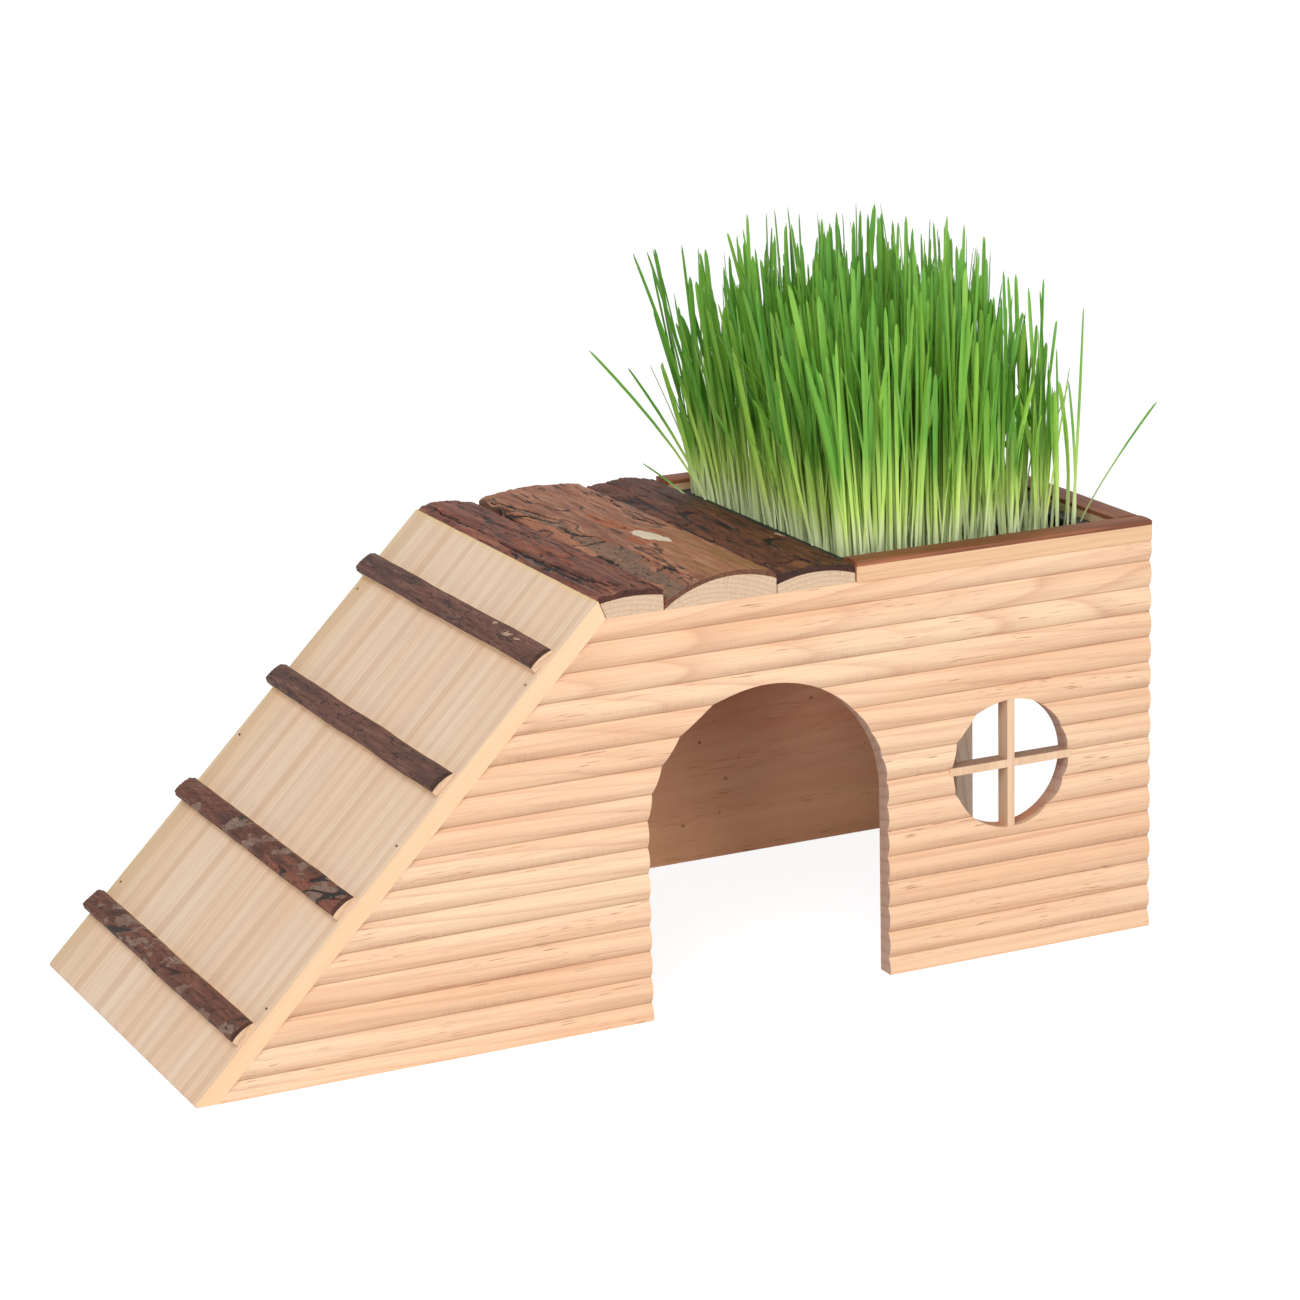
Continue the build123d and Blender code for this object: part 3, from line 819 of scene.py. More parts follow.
def slab_skin(name, node, material, wood_front, wood_back, barks, seed, relief, paths, marks, **texture):
    """Bark over a slab, from the front end to the back end, in the place of its plain solid.

    wood_front and wood_back are the wood's heights above the walls at the left, the crown and the right, and
    barks the bark's thickness there. Places on the slab are in millimetres from the wall's foot and front.
    marks turns the places into the fields in MARKS. The relief turns to small slanting scales where the bark is
    weathered. Where the bark is gone it is evened, and only the cracks given as paths go on.
    """
    low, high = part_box(node)
    across = np.linspace(low.x, high.x, max(70, int((high.x - low.x) / (0.42 * MM))))
    along = np.linspace(low.y, high.y, 380)
    share = (across - low.x) / (high.x - low.x)
    back_share = smooth((along - low.y) / (high.y - low.y), 0.05, 0.8)[:, None]
    front_bed, back_bed = through_three(wood_front, share), through_three(wood_back, share)
    bed = (front_bed * (1 - back_share) + back_bed * back_share) * MM
    thick = through_three(barks, share)[None, :] * MM
    grid_across, grid_along = np.meshgrid((across - FOOT) / MM, (along - FRONT) / MM)
    height, crack, edge = bark_relief(grid_across, grid_along, seed, paths=paths, **texture)
    fields = marked(marks, grid_across, grid_along)
    scaly = bark_relief(grid_across, grid_along, seed + 5, (4.5, 17.0), (2.0, 8.0), slant=0.25, paths=paths)
    height, crack, edge = (plain + (scaled - plain) * fields["weathered"]
                           for plain, scaled in zip((height, crack, edge), scaly))
    worn = np.maximum(fields["bare"], fields["wood"])
    evened = 0.34 + 0.05 * rough(grid_across / 8, grid_along / 50, seed + 77, 3)
    listed = bark_relief(grid_across, grid_along, seed, (1e6, 1e6), paths=paths)[1]
    crack = crack * (1 - worn) + listed * worn
    edge = edge * (1 - worn)
    height = height * (1 - worn) + (evened - 0.3 * listed) * worn
    edges = np.minimum(share, 1 - share) * (high.x - low.x) / MM
    fade = smooth(edges + 0.7 * rough(grid_across / 2, grid_along / 7, seed + 81, 3), -0.3, 2.2)
    over = WALL_TOP + bed + thick * (0.55 + 0.45 * fade) + relief * MM * height * (0.35 + 0.65 * fade)
    over = np.minimum(over, high.z + 1.5 * MM)
    under = np.broadcast_to(WALL_TOP + bed - 0.02 * MM, over.shape)
    ragged = 0.5 * MM * rough(across / MM / 9, 0 * across, seed + 91, 2)
    spread = np.linspace(0, 1, len(along))[:, None]

    def place_at(ring_across, ring_along, ring_height):
        drawn_in = np.interp(ring_across[0], across, np.abs(ragged))[None, :] * np.abs(1 - 2 * spread) ** 9
        return ring_across, ring_along + drawn_in * np.sign(0.5 - spread), ring_height

    strip = bark_strip(name, across, along, under, over, place_at, {"crack": crack, "edge": edge, **fields})
    return finished(strip, material, node, crease=60)


def left_marks(across, along):
    """Grey scales here and there, grey specks by the ramp, and a rusty patch beside them."""
    old = smooth(rough(across / 6, along / 22, 511, 4), 0.25, 0.75) * 0.55
    specks = blob(across, along, (179.5, 74), (2.6, 17), 0.0, 512, 0.6)
    rusty = blob(across, along, (188, 84), (6, 30), 0.05, 513, 0.5) * 0.8
    return {"weathered": np.maximum(old, specks), "rust": rusty * (1 - specks)}


def middle_marks(across, along):
    """A weathered band beside the groove, and bare bark towards the front, with a knot that has rust round it."""
    band_middle = np.interp(along, [0, 60, 125, 145, 184, 200], [215.5, 215.5, 216.0, 213.0, 209.5, 208.5])
    band_half = np.interp(along, [0, 60, 110, 135, 184], [5.5, 5.5, 3.5, 2.6, 1.6])
    ripple = 0.55 * rough(across / 3, along / 16, 521, 4)
    band = 1 - smooth(np.abs(across - band_middle) / band_half + ripple, 0.6, 1.15)
    zone_left = np.interp(along, [-5, 30, 60, 90, 135], [225, 228.5, 233, 238, 231])
    zone_right = np.interp(along, [-5, 20, 60, 90, 110, 135], [260, 260, 256, 250, 238, 233])
    inside = np.minimum(across - zone_left, zone_right - across) + 1.6 * rough(across / 4, along / 14, 522, 4)
    zone = smooth(inside, -0.6, 1.6) * (1 - smooth(along, 122, 132))
    ring = blob(across, along, (237.5, 76), (8.0, 24), 0.2, 523, 0.5)
    stain = blob(across, along, (233.8, 110), (3.8, 22), 0.12, 525, 0.5)
    knot = blob(across, along, (237.6, 77.5), (4.7, 14.6), 0.2, 527, 0.16)
    halo = blob(across, along, (237.6, 77.5), (6.0, 17.5), 0.2, 526, 0.3)
    return {"weathered": band, "bare": np.clip(zone - 0.9 * band, 0, 1), "wood": knot,
            "rust": np.maximum(ring - 0.75 * halo, stain) * (1 - band)}


def right_marks(across, along):
    """A bare patch at the front end, one pale chip behind it, and grey scales here and there."""
    patch = blob(across, along, (274.5, 7), (4.5, 6.5), 0.0, 531, 0.35)
    flake = blob(across, along, (293.8, 64), (1.6, 4.0), 0.0, 532, 0.5)
    old = smooth(rough(across / 5, along / 26, 533, 4), 0.35, 0.85) * 0.5
    return {"bare": patch, "wood": flake * 0.9, "weathered": old}


left_paths = [(1.3, [(181.3, 192.5), (180.2, 171.2), (180.9, 155.9), (181.1, 139.6), (182.0, 118)]),
              (0.9, [(194.3, 164.4), (192.1, 143.9), (192.3, 128.0), (194.4, 116.4)]),
              (1.5, [(195.6, 127.3), (195.3, 117.0), (194.8, 107.1)]),
              (1.7, [(182.8, 63.0), (183.3, 53.1), (185.0, 26.8), (189.2, 5.5)]),
              (0.7, [(185.5, 47.0), (187.5, 27.0), (191.5, 9.0)]),
              (1.0, [(199.5, 92.0), (197.5, 74.0), (199.0, 60.0)]),
              # painted shadow, listed as a crack: the broad dark line along the slab's left edge, where the side
              # of its bark is in shade
              (2.4, [(180.7, 112.0), (180.9, 80.0), (181.0, 45.0), (181.4, 5.0)])]
middle_paths = [(1.5, [(208.3, 187.0), (210.9, 173.8), (213.9, 159.4), (216.4, 141.7), (217.5, 133.0)]),
                (2.2, [(207.5, 174.8), (207.9, 157.3), (211.8, 146.4), (214.2, 134.6), (216.9, 125.0)]),
                (1.2, [(214.6, 124.0), (214.5, 108.9), (218.5, 99.0), (220.5, 90.0)]),
                (3.0, [(210.9, 76.0), (211.4, 66.0), (212.3, 56.5)]),
                (0.7, [(212.3, 58.0), (211.3, 43.4), (211.8, 30.0)]),
                (0.9, [(222.7, 65.0), (222.3, 39.0), (223.0, 25.5), (225.5, 1.3)]),
                (1.2, [(255.6, 180.0), (253.0, 161.5), (254.5, 153.8), (250.7, 138.0), (251.6, 119.8)]),
                (1.1, [(237.2, 28.8), (239.2, 27.2)])]
right_paths = [(1.6, [(261.6, 113.0), (264.0, 107.6), (263.5, 98.5), (270.1, 100.5)]),
               (1.8, [(261.5, 92.6), (262.3, 75.5), (264.4, 61.1)]),
               (2.0, [(261.9, 26.8), (263.8, 21.0), (267.1, 17.3)]),
               (2.0, [(268.3, 18.6), (270.2, 13.1), (279.5, 16.0), (280.2, 0.5)]),
               (1.0, [(282.7, 104.7), (287.0, 99.5), (294.6, 96.9)])]
slab_skin("left_slab_bark", "roof_bark_left", left_bark, (6.4, 7.9, 6.6), (6.0, 7.6, 4.2), (2.0, 1.6, 2.4),
          101, 2.7, left_paths, left_marks, crack_size=(11.0, 120.0), flake_size=(7.0, 60.0), slant=0.05)
slab_skin("middle_slab_bark", "roof_bark_middle", middle_bark, (0.2, 10.3, 6.8), (6.2, 10.0, 7.2),
          (2.2, 1.2, 2.0), 202, 2.0, middle_paths, middle_marks, crack_size=(20.0, 150.0), flake_size=(9.0, 60.0))
slab_skin("right_slab_bark", "roof_bark_right", right_bark, (3.9, 7.0, 4.1), (4.6, 7.2, 3.6), (2.8, 1.8, 3.0),
          303, 2.4, right_paths, right_marks, crack_size=(11.0, 110.0), flake_size=(5.0, 50.0))
print("slab bark made")

# %% [markdown]
# ## Rungs
#
# A rung is a split branch, sawn flat underneath and nailed across the plank, with its bark on. The bark follows
# the bowed top and ends a little raggedly. The two upper rungs have smooth dark bark, and the two lower ones
# have redder bark that is cracked on a slant and spotted with grey lichen.

# %% Bark on the four rungs
rung_half, rung_skin = 5.75, 2.1               # half the width, and the bark's thickness, in millimetres
rung_lower, rung_upper, rung_crown = 3.4, 1.4, 0.9     # the wood at its two edges, and how far its back bows out


def ramp_place(up_slope, out):
    """The place of a point that far up the plank and that far out of its face, both in millimetres."""
    along, clear = up_slope * MM, out * MM + PLANK
    x = FOOT + along * math.cos(SLOPE) - clear * math.sin(SLOPE)
    return x, along * math.sin(SLOPE) + clear * math.cos(SLOPE)


def rung_skin_strip(name, node, distance, material, seed, marks, relief, **texture):
    """Bark over a rung at a distance up the slope. marks gives its fields from the places across and along.

    relief is how far, in millimetres, its highest flakes stand above its deepest cracks.
    """
    across = np.linspace(-rung_half, rung_half, 44)
    along = np.linspace(FRONT + 3 * MM, BACK, 420)
    share = (across + rung_half) / (2 * rung_half)
    bed = rung_lower + (rung_upper - rung_lower) * share + rung_crown * 4 * share * (1 - share)
    grid_across, grid_along = np.meshgrid(across, (along - FRONT) / MM)
    height, crack, edge = bark_relief(grid_across + 40 * seed, grid_along, seed, **texture)
    edges = np.minimum(share, 1 - share) * 2 * rung_half
    fade = smooth(edges + 0.3 * rough(grid_across, grid_along / 5, seed + 5, 2), -0.1, 1.3)
    over = bed + rung_skin * (0.45 + 0.55 * fade) - 0.5 * relief + relief * height * (0.3 + 0.7 * fade)
    drift = 0.35 * rough(grid_along[:, :1] / 40, 0 * grid_along[:, :1], seed + 9, 3)

    def place_at(ring_across, ring_along, ring_height):
        x, z = ramp_place(distance + ring_across + drift, ring_height)
        return x, ring_along, z

    fields = {"crack": crack, "edge": edge, **marked(marks, grid_across, grid_along)}
    strip = bark_strip(name, across, along, np.broadcast_to(bed - 0.02, over.shape), over, place_at, fields)
    return finished(strip, material, node, crease=60)


def lichen(seed, amount, bare_to):
    """Marks for a lower rung: grey patches of uneven size, and smooth orange bark near its front end."""
    def marks(across, along):
        skewed = across + 0.3 * along
        patchy = rough(skewed / 5.5, along / 13, seed, 3) + 0.30 * rough(across / 1.6, along / 3, seed + 7, 3)
        grey = smooth(patchy, amount, amount + 0.3)
        bare = (1 - smooth(along + 6 * across, bare_to, bare_to + 22)) * (1 - grey)
        return {"weathered": grey, "bare": bare}
    return marks


def tan_spots(across, along):
    """Marks for an upper rung: tan spots where the bark is knocked off, near its front end."""
    spots = [((1.4, 38), (1.7, 4.2)), ((3.8, 54), (0.7, 2.2)), ((2.0, 27), (0.6, 2.4))]
    knocked_off = [blob(across, along, *spot, 0.1, 541 + number, 0.5) for number, spot in enumerate(spots)]
    return {"wood": np.maximum.reduce(knocked_off) * 0.9}


def no_marks(across, along):
    return {}


red_tones = "1A0F0B", "603526", "764432", "965E46", "A28674", "98543A", "98543A", "C9A98A"
dark_tones = "170D0C", "5C382E", "764838", "986C5A", "8A7468", "7A4A30", "7A4A30", "C4A488"
red_bark, dark_bark = bark("red_bark", red_tones, contrast=1.2), bark("dark_bark", dark_tones)
cracked = {"relief": 1.2, "crack_size": (6.5, 26.0), "flake_size": (2.4, 9.0), "slant": 0.28}
even = {"relief": 0.6, "crack_size": (26.0, 150.0), "flake_size": (4.0, 26.0), "slant": 0.05}
lowest_at, highest_at = 29.0, WALL_TOP / MM / math.sin(SLOPE) - 30.3     # their middles, up the slope
lowest, lower, upper, highest = rung_places = np.linspace(lowest_at, highest_at, 4)
rung_skin_strip("lowest_rung_bark", "rung_bark_1", lowest, red_bark, 11, lichen(611, 0.15, -99), **cracked)
rung_skin_strip("lower_rung_bark", "rung_bark_2", lower, red_bark, 12, lichen(612, 0.05, 42), **cracked)
rung_skin_strip("upper_rung_bark", "rung_bark_3", upper, dark_bark, 13, no_marks, **even)
rung_skin_strip("highest_rung_bark", "rung_bark_4", highest, dark_bark, 14, tan_spots, **even)
print("rungs at", rung_places.round(1), "mm up the slope")

# %% [markdown]
# ## Sawn wood
#
# The slabs show their end grain to the front: rings that are arcs round the log's heart, below the roof, with
# fine checks running outwards. The pine finish, with its heart elsewhere, serves the rungs, the rim, the rail and
# the ledgers, since those show their long sides.

# %% Sawn finishes on the carried-over solids
SLAB_HEARTS = {"left": 188, "middle": 228, "right": 282}     # millimetres from the walls' foot
HEART_DROP, LOG_RING = 52 * MM, 2.1 * MM


def end_grain(name, heart_x, heart_z, ring_gap):
    """The sawn end of a log: rings round a heart that runs from front to back, and checks that cross them."""
    finish = Finish(name, Roughness=0.75, Specular_IOR_Level=0.2)
    place = finish.place()
    x, z = place.along(EAST) - heart_x, place.along(SKY) - heart_z
    wave = finish.noise(place, scale=60, detail=2.0) - 0.5
    radius = (x ** 2.0 + z ** 2.0) ** 0.5 + wave * 0.0012
    late = (radius / ring_gap).fraction().curve((0, 0.05), (0.6, 0.1), (0.86, 0.9), (0.93, 1.0), (1, 0.05))
    pores = finish.noise(finish.vector(x * 1500, place.along(NORTH) * 60, z * 1500), detail=3.0, roughness=0.7)
    turn = finish.add("ShaderNodeMath", {0: x, 1: z}, operation="ARCTAN2")
    rays = finish.noise(finish.vector(turn * 46, radius * 20, 0.0), detail=2.0)
    checks = (rays - 0.5).absolute().between(0.007, 0.0) * (wave + 0.5).between(0.52, 0.6)
    colour = finish.layered(
        "E2C8AE",
        (pores.between(0.3, 0.7), "CDAE90"),
        (late * 0.34, "A88468"),
        (rays.between(0.45, 0.75) * 0.14, "A67F5C"),
        (checks * 0.6, "6A4631"))
    return finish.show(colour, None, pores, depth=0.25 * MM)


for side, heart in SLAB_HEARTS.items():
    sawn_end = end_grain(f"{side}_slab_end_grain", FOOT + heart * MM, WALL_TOP - HEART_DROP, LOG_RING)
    dress(sawn_end, f"roof_slab_{side}")
rung_tones = "ECD2B0", "E0C09C", "BE9470", "7B4F33", "E2C4A4"
rim_tones = "EAC49C", "E0B088", "C08A64", "9A6540", "C6A27E"
rung_wood = pine("rung_wood", NORTH, EAST, (0.2, 0.3, 0.0), 3.0 * MM, rung_tones, 0.4, 0.3)
rim_wood = pine("rim_wood", EAST, SKY, (0.02, 0.05, 0.0), 3.6 * MM, rim_tones, 0.45, 0.3)
dress(rung_wood, "rung_1", "rung_2", "rung_3", "rung_4", "cross_rail", "ledger_end", "rim_end")
dress(rim_wood, "ledger_front", "ledger_back", "rim_front", "rim_back")
dress(bar_pine, "window_bar_upright", "window_bar_cross")
print("sawn finishes:", rung_wood.name, rim_wood.name, "and the ends of", len(SLAB_HEARTS), "slabs")

# %% [markdown]
# ## The rim's bark
#
# The three rim battens are ripped from bark-edged boards. Their tops keep a thin, tight, even bark that has been
# rubbed smooth, with long fine streaks.

# %% Rim bark finish


def rubbed_bark(name, grain):
    """Red brown in soft patches, with dark and light streaks drawn out along the grain."""
    finish = Finish(name, Roughness=0.55, Specular_IOR_Level=0.35)
    noise = finish.grained(grain)[1]
    streak = noise(14, 520, detail=4.0, roughness=0.62)
    patch = noise(18, 120, detail=3.0)
    colour = finish.layered(
        "A86646",
        (patch.between(0.35, 0.65), "8A4E33"),
        (streak.between(0.42, 0.7) * 0.65, "5A3424"),
        (streak.between(0.38, 0.25) * 0.6, "C08A62"))
    return finish.show(colour, streak * 0.3 + 0.4, streak * 0.8 + patch * 0.3, depth=0.35 * MM)


for node, grain in (("rim_bark_front", EAST), ("rim_bark_back", EAST), ("rim_bark_end", NORTH)):
    dress(rubbed_bark(f"{node}_finish", grain), node)
print("rim bark set")

# %% [markdown]
# ## Tray, mat and brads
#
# The tray is black moulded plastic with a slight sheen. The mat is dark, damp fibre. The brads are dull wire, and
# those in the ramp are dusted over with pale wood.

# %% Small finishes


def speckled(name, dark, light, scale, roughness, bump):
    """Two colours in grains of an even size, with bumps to match."""
    finish = Finish(name, Roughness=roughness)
    grains = finish.noise(finish.place(), scale=scale, detail=4.0, roughness=0.6)
    return finish.show(finish.mix(grains.between(0.3, 0.75), dark, light), None, grains, depth=bump)


dress(speckled("tray_plastic", "0C1010", "151A19", 900, 0.55, 0.05 * MM), "tray")
dress(speckled("growing_mat", "20150D", "4A3422", 420, 0.95, 1.2 * MM), "soil")
dusty, bare_wire = ("8E7458", "BFA280"), ("2C241E", "54483D")
for node, wire in (("ramp_brads", dusty), ("rung_brads", bare_wire), ("roof_brads", bare_wire)):
    dress(speckled(f"{node}_wire", *wire, 700, 0.5, 0.05 * MM), node)
print("tray, mat and brads set")

# %% [markdown]
# ## Grass
#
# A tray of wheatgrass is well over a thousand shoots. Each is a folded ribbon: a narrow white stem at the mat,
# broadest in its upper half, and drawn to a point only at the very end. Many shoots fork into two leaves.
# One array holds them all. A blade's middle line leaves its root almost upright and bends a little more the
# higher it gets, and four points round it at each of ten heights make a closed leaf with a crease. A second
# leaf is one more such blade, rooted on the middle line of the first. The roots are drawn evenly over the mat and
# thinned out towards two of its corners. The tips stay under a ceiling that is highest left of the middle.

# %% Grow the grass
soil_low, soil_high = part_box("soil")
SHOOTS, FORKS = 1560, 520
STEM_TO_TIP = [0.70, 0.66, 0.68, 0.78, 0.92, 1.0, 1.0, 0.92, 0.66, 0.16]
FORK_TO_TIP = [0.30, 0.66, 0.84, 0.95, 1.0, 1.0, 0.96, 0.84, 0.60, 0.16]
LEVELS = np.array([0.0, 0.12, 0.26, 0.42, 0.58, 0.72, 0.84, 0.93, 0.98, 1.0])


def spine(roots, leans, tall, bows, share):
    """Places on the blades' middle lines, for shares of their height given as (blade, level).

    The line is root + lean * share^1.3 + bow * sin(pi * share), and it rises by the blade's length.
    """
    share = share[..., None]
    flat = roots[:, None, :2] + leans[:, None] * share ** 1.3 + bows[:, None] * np.sin(math.pi * share)
    return np.concatenate([flat, roots[:, None, 2:] + tall[:, None, None] * share], 2)


def grow(roots, leans, tall, widths, twist, bows, profile):
    """Blades as an array of points (blade, level, corner, 3).

    Half the width follows the profile. The four corners are the two edges, the crease below and the ridge above.
    """
    middle = spine(roots, leans, tall, bows, np.broadcast_to(LEVELS, (len(roots), len(LEVELS))))
    turned = twist[:, None] + 0.7 * (LEVELS - 0.5)[None] * np.sign(np.sin(7 * twist))[:, None]
    edge = np.stack([np.cos(turned), np.sin(turned), 0 * turned], -1)
    front = np.stack([-np.sin(turned), np.cos(turned), 0 * turned], -1)
    breadth = widths[:, None, None] * np.array(profile)[None, :, None] / 2
    fold = breadth * 0.34
    thick = np.interp(LEVELS, [0, 0.2, 0.5, 1], [0.55, 0.45, 0.16, 0.05])[None, :, None] * MM
    return np.stack([middle - edge * breadth, middle + front * (fold + thick),
                     middle + edge * breadth, middle + front * (fold - thick)], 2)


random = np.random.default_rng(5)
margin = 0.6 * MM
tried = random.uniform((soil_low.x + margin, soil_low.y + margin), (soil_high.x - margin, soil_high.y - margin),
                       (4 * SHOOTS, 2))
middle_x, middle_y = (soil_low.x + soil_high.x) / 2, (soil_low.y + soil_high.y) / 2
off_x = (tried[:, 0] - middle_x) / (soil_high.x - middle_x)
off_y = (tried[:, 1] - middle_y) / (soil_high.y - middle_y)
# How likely a root is to be left out: more so towards the back left corner and the front right one.
thin = smooth(off_y - off_x, 0.75, 1.9) * 0.40 + smooth(off_x - off_y, 0.55, 1.8) * 0.62
kept = np.flatnonzero(random.uniform(0, 1, len(tried)) > thin)[:SHOOTS]
off_x, off_y = off_x[kept], off_y[kept]
roots = np.column_stack([tried[kept], np.full(SHOOTS, soil_high.z - 1 * MM)])
leans = np.stack([np.where(off_x < 0, 14.0, -2.0) * MM * off_x * np.abs(off_x) ** 0.8,
                  6 * MM * off_y * np.abs(off_y) ** 0.8], -1)
leans += random.normal(0, 4.2 * MM, leans.shape) * np.where(random.uniform(0, 1, (SHOOTS, 1)) < 0.10, 2.8, 1.0)
tips = roots[:, :2] + leans
# The ceiling, in millimetres from the walls' foot and above the floor. It sinks towards the back, and a little
# towards the front.
top_places, top_heights = [255, 280, 300, 330, 362, 404, 430, 470], [316, 327, 331, 329, 326, 316, 304, 284]
ceiling = np.interp(tips[:, 0] - 0.47 * tips[:, 1] - FOOT, np.array(top_places) * MM, np.array(top_heights) * MM)
ceiling += np.where(tips[:, 1] > 0, -0.26, 0.06) * tips[:, 1]
# One blade in nine comes near the ceiling, and the others stop two fifths to six sevenths of the way up.
reach = np.where(random.uniform(0, 1, SHOOTS) < 0.11, random.uniform(0.84, 1.0, SHOOTS),
                 0.42 + 0.43 * random.beta(2.4, 1.5, SHOOTS))
tall = (ceiling - roots[:, 2]) * reach
widths = random.normal(2.15 * MM, 0.50 * MM, SHOOTS).clip(1.2 * MM, 3.5 * MM)
twist = random.uniform(0, 2 * math.pi, SHOOTS)
bows = random.normal(0, 1.4 * MM, (SHOOTS, 2))
tone = random.uniform(0, 1, SHOOTS)
shoots = grow(roots, leans, tall, widths, twist, bows, STEM_TO_TIP)

forked = random.choice(SHOOTS, FORKS, replace=False)
at = random.uniform(0.36, 0.62, (FORKS, 1))
fork_roots = spine(roots[forked], leans[forked], tall[forked], bows[forked], at)[:, 0]
fork_tall = tall[forked] * (1 - at[:, 0]) * random.uniform(0.62, 1.0, FORKS)
away = random.normal(0, 5.5 * MM, (FORKS, 2))
forks = grow(fork_roots, leans[forked] * 0.6 + away, fork_tall, widths[forked] * 0.85, twist[forked] + 0.8,
             bows[forked] * 0.3, FORK_TO_TIP)

TUFT = 26                                      # blades in the tuft at the back left corner
tufts = np.column_stack([random.uniform(306.5, 313, TUFT), random.uniform(66, 76.5, TUFT),
                         random.normal(-11, 6, TUFT), random.normal(3, 4, TUFT),
                         random.uniform(45, 132, TUFT), random.uniform(1.5, 2.8, TUFT)])
strays = [  # root x and y from the wall's foot and middle, lean x and y, height and width, in millimetres
    (309, 60, -61, 0, 87, 1.8), (309, 62, -42, -2, 77, 1.8), (309, 57, -38, 3, 129, 2.2),
    (310, 54, -32, 6, 129, 2.4), (307, 62, -34, -2, 32, 1.8), (425, -66, 38, -9, 63, 2.2), *tufts.tolist(),
]
stray = np.array(strays) * MM
stray_roots = np.stack([stray[:, 0] + FOOT, stray[:, 1], np.full(len(stray), soil_high.z)], -1)
lone = grow(stray_roots, stray[:, 2:4], stray[:, 4], stray[:, 5], np.linspace(0, 3, len(stray)),
            np.zeros((len(stray), 2)), STEM_TO_TIP)
corners = np.concatenate([shoots, forks, lone])
tone = np.concatenate([tone, tone[forked], random.uniform(0, 0.7, len(stray))])
ripe = np.concatenate([np.tile(LEVELS, (SHOOTS, 1)), at + (1 - at) * LEVELS, np.tile(LEVELS, (len(stray), 1))])

count, levels = corners.shape[:2]
index = np.arange(count * levels * 4).reshape(count, levels, 4)
faces = np.concatenate([quads_round(index), index[:, 0, ::-1], index[:, -1]])
grass = mesh_object("grass_blades", corners.reshape(-1, 3), faces.tolist())
keep_field(grass, "tone", np.repeat(tone, levels * 4))
keep_field(grass, "ripe", np.repeat(ripe, 4))

leaf = Finish("leaf", Roughness=0.45, Specular_IOR_Level=0.3)
x, y, z = (leaf.place().along(direction) for direction in (EAST, NORTH, SKY))
above = z - soil_high.z
blade_tone = leaf.attribute("tone")
other_tone = (blade_tone * 37.0).fraction()    # a second random number for each blade
veins = leaf.noise(leaf.vector(x * 2400, y * 2400, z * 30))
stem = leaf.mix(other_tone, "F8FBE2", "E6F2B6")
young = leaf.mix(other_tone, "D8F082", "BFE46C")
green = leaf.layered(
    "5A9E36",
    (blade_tone.between(0.0, 0.55), "78B23E"),
    (blade_tone.between(0.60, 1.0), "9CCE4C"),
    (above.between(0.080, 0.150) * 0.50, "62A842"))
ripened = (above - other_tone * 0.030).between(0.022, 0.070) + leaf.attribute("ripe").between(0.30, 0.80)
colour = leaf.layered(
    stem,
    ((above - other_tone * 0.016).between(0.004, 0.022), young),
    (ripened.between(0.0, 1.0), green),
    (veins.between(0.4, 0.7) * 0.12, "B6DA6C"))
finished(grass, leaf.show(colour, None, veins, depth=0.08 * MM), "grass", body="tray", crease=70)
print(count, "blades,", len(grass.data.polygons), "faces")

# %% [markdown]
# ## Floor, light and background
#
# The house stands on a white sweep under one large soft light above and to the left of the camera, with a weaker
# one from the front that reaches into the doorway, and an even white surround that fills the shadows. The camera
# sees most of the sweep as plain white light, so that it runs into the background. The rest of it is lit like
# anything else, and that part carries the shadow.

# %% Light the set
floor = mesh_object("floor", np.array([(-6, -6, 0), (6, -6, 0), (6, 6, 0), (-6, 6, 0)], float), [[0, 1, 2, 3]])
sweep = Finish("white_sweep", Roughness=0.9, Specular_IOR_Level=0.0)
sweep.surface.inputs["Base Color"].default_value = (0.95, 0.95, 0.95, 1)


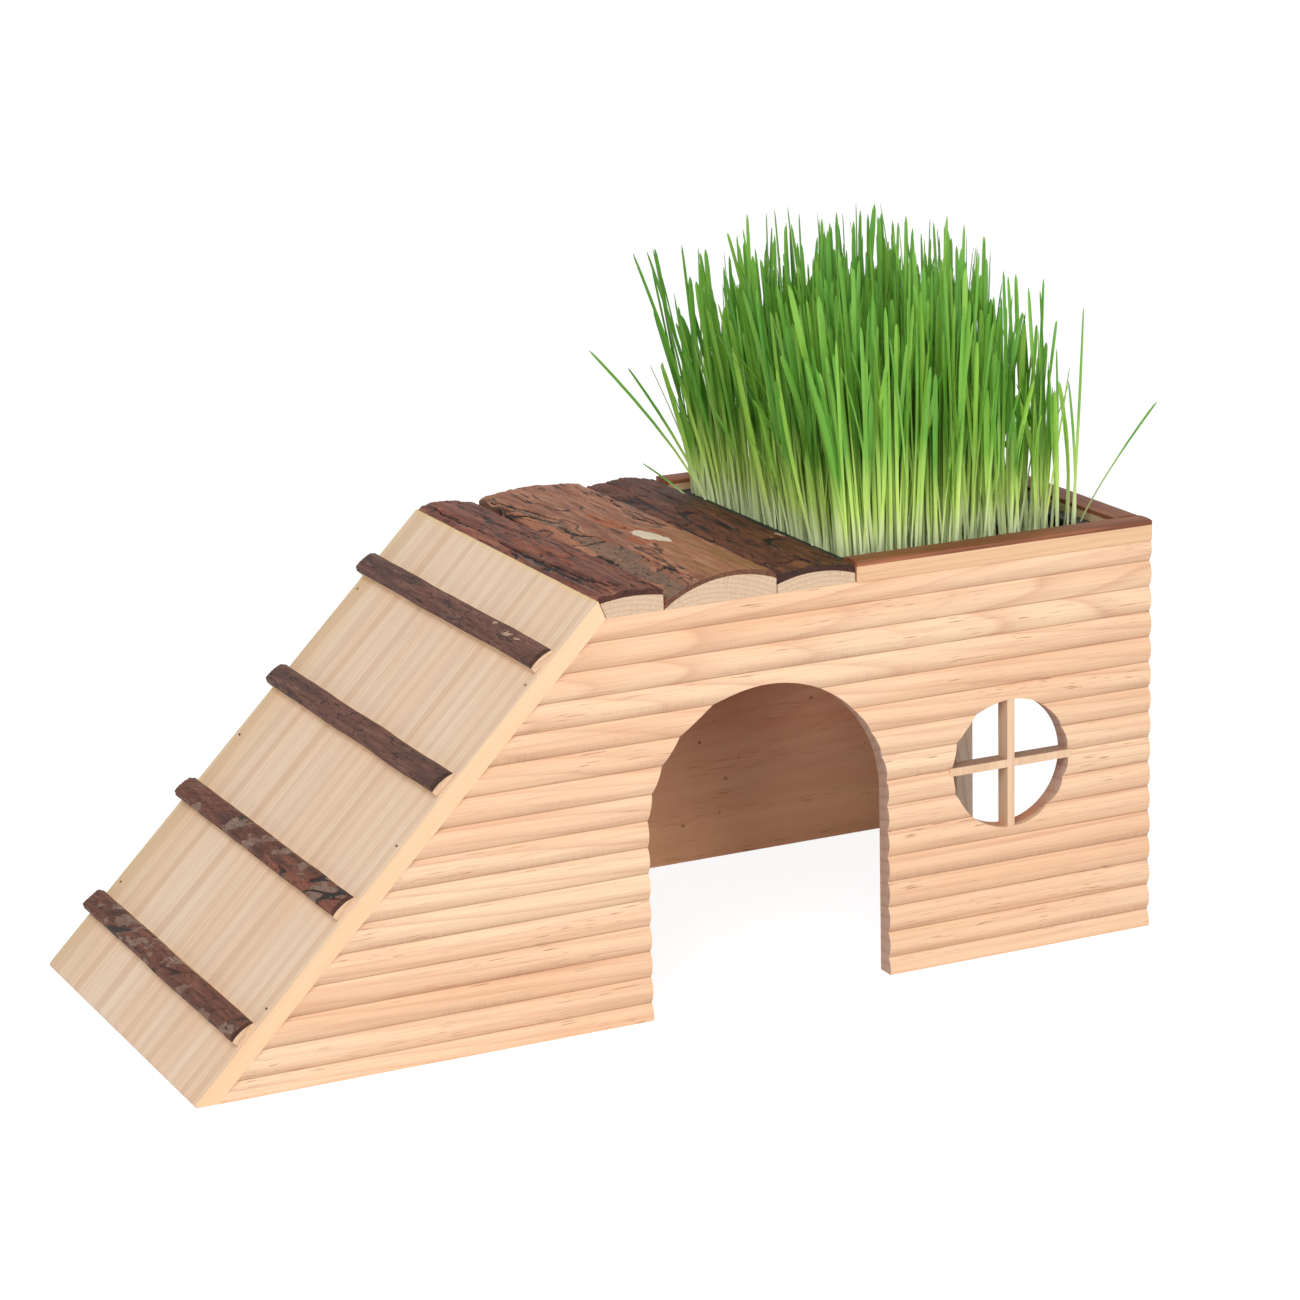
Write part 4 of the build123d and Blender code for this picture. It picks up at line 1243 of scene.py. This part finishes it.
def seen_directly(finish):
    """1 on rays from the camera, or by way of a mirror or glass, and 0 on the rays that light the object."""
    rays = ("Is Camera Ray", "Is Glossy Ray", "Is Transmission Ray")
    camera_ray, glossy, through = (finish.add("ShaderNodeLightPath", {}, out=ray) for ray in rays)
    return finish.add("ShaderNodeMath", {0: camera_ray + glossy, 1: through}, operation="ADD", use_clamp=True)


glow = sweep.add("ShaderNodeEmission", {"Strength": 1.34})
blend = sweep.add("ShaderNodeMixShader", {0: seen_directly(sweep) * 0.66, 2: glow})
sweep.tree.links.new(sweep.surface.outputs[0], blend.socket.node.inputs[1])
sweep.tree.links.new(blend.socket, sweep.tree.nodes["Material Output"].inputs[0])
floor.data.materials.append(sweep.material)

surround = bpy.data.worlds.new("white_surround")
surround.use_nodes = True
bpy.context.scene.world = surround
sky = Finish.over(surround.node_tree)
backgrounds = [sky.add("ShaderNodeBackground", {"Strength": strength}) for strength in (0.52, 1.0)]
surround_blend = sky.add("ShaderNodeMixShader", {0: seen_directly(sky), 1: backgrounds[0], 2: backgrounds[1]})
sky.add("ShaderNodeOutputWorld", {0: surround_blend})


def softbox(name, place, aim, size, power):
    """A square lamp at a place, facing an aim."""
    lamp = bpy.data.lights.new(name, "AREA")
    lamp.shape, lamp.size, lamp.energy = "SQUARE", size, power
    lamp_object = bpy.data.objects.new(name, lamp)
    lamp_object.matrix_world = Matrix.Translation(place) @ (
        (Vector(aim) - Vector(place)).to_track_quat("-Z", "Y").to_matrix().to_4x4())
    bpy.context.scene.collection.objects.link(lamp_object)


softbox("key_softbox", (-1.1, -1.7, 1.85), (0, 0, 0.1), 1.5, 36.5)
softbox("front_softbox", (0.15, -1.4, 0.24), (0, 0, 0.1), 0.46, 4.5)
bpy.context.scene.view_settings.view_transform = "Standard"
print("lights placed")

# %% [markdown]
# ## Bring the scene up to date
#
# The dressed model has to stay inside the solid model's box, apart from the tips of a few blades of grass. The
# last step brings every placement in the scene up to date.

# %% Bring the scene up to date
bpy.context.view_layer.update()
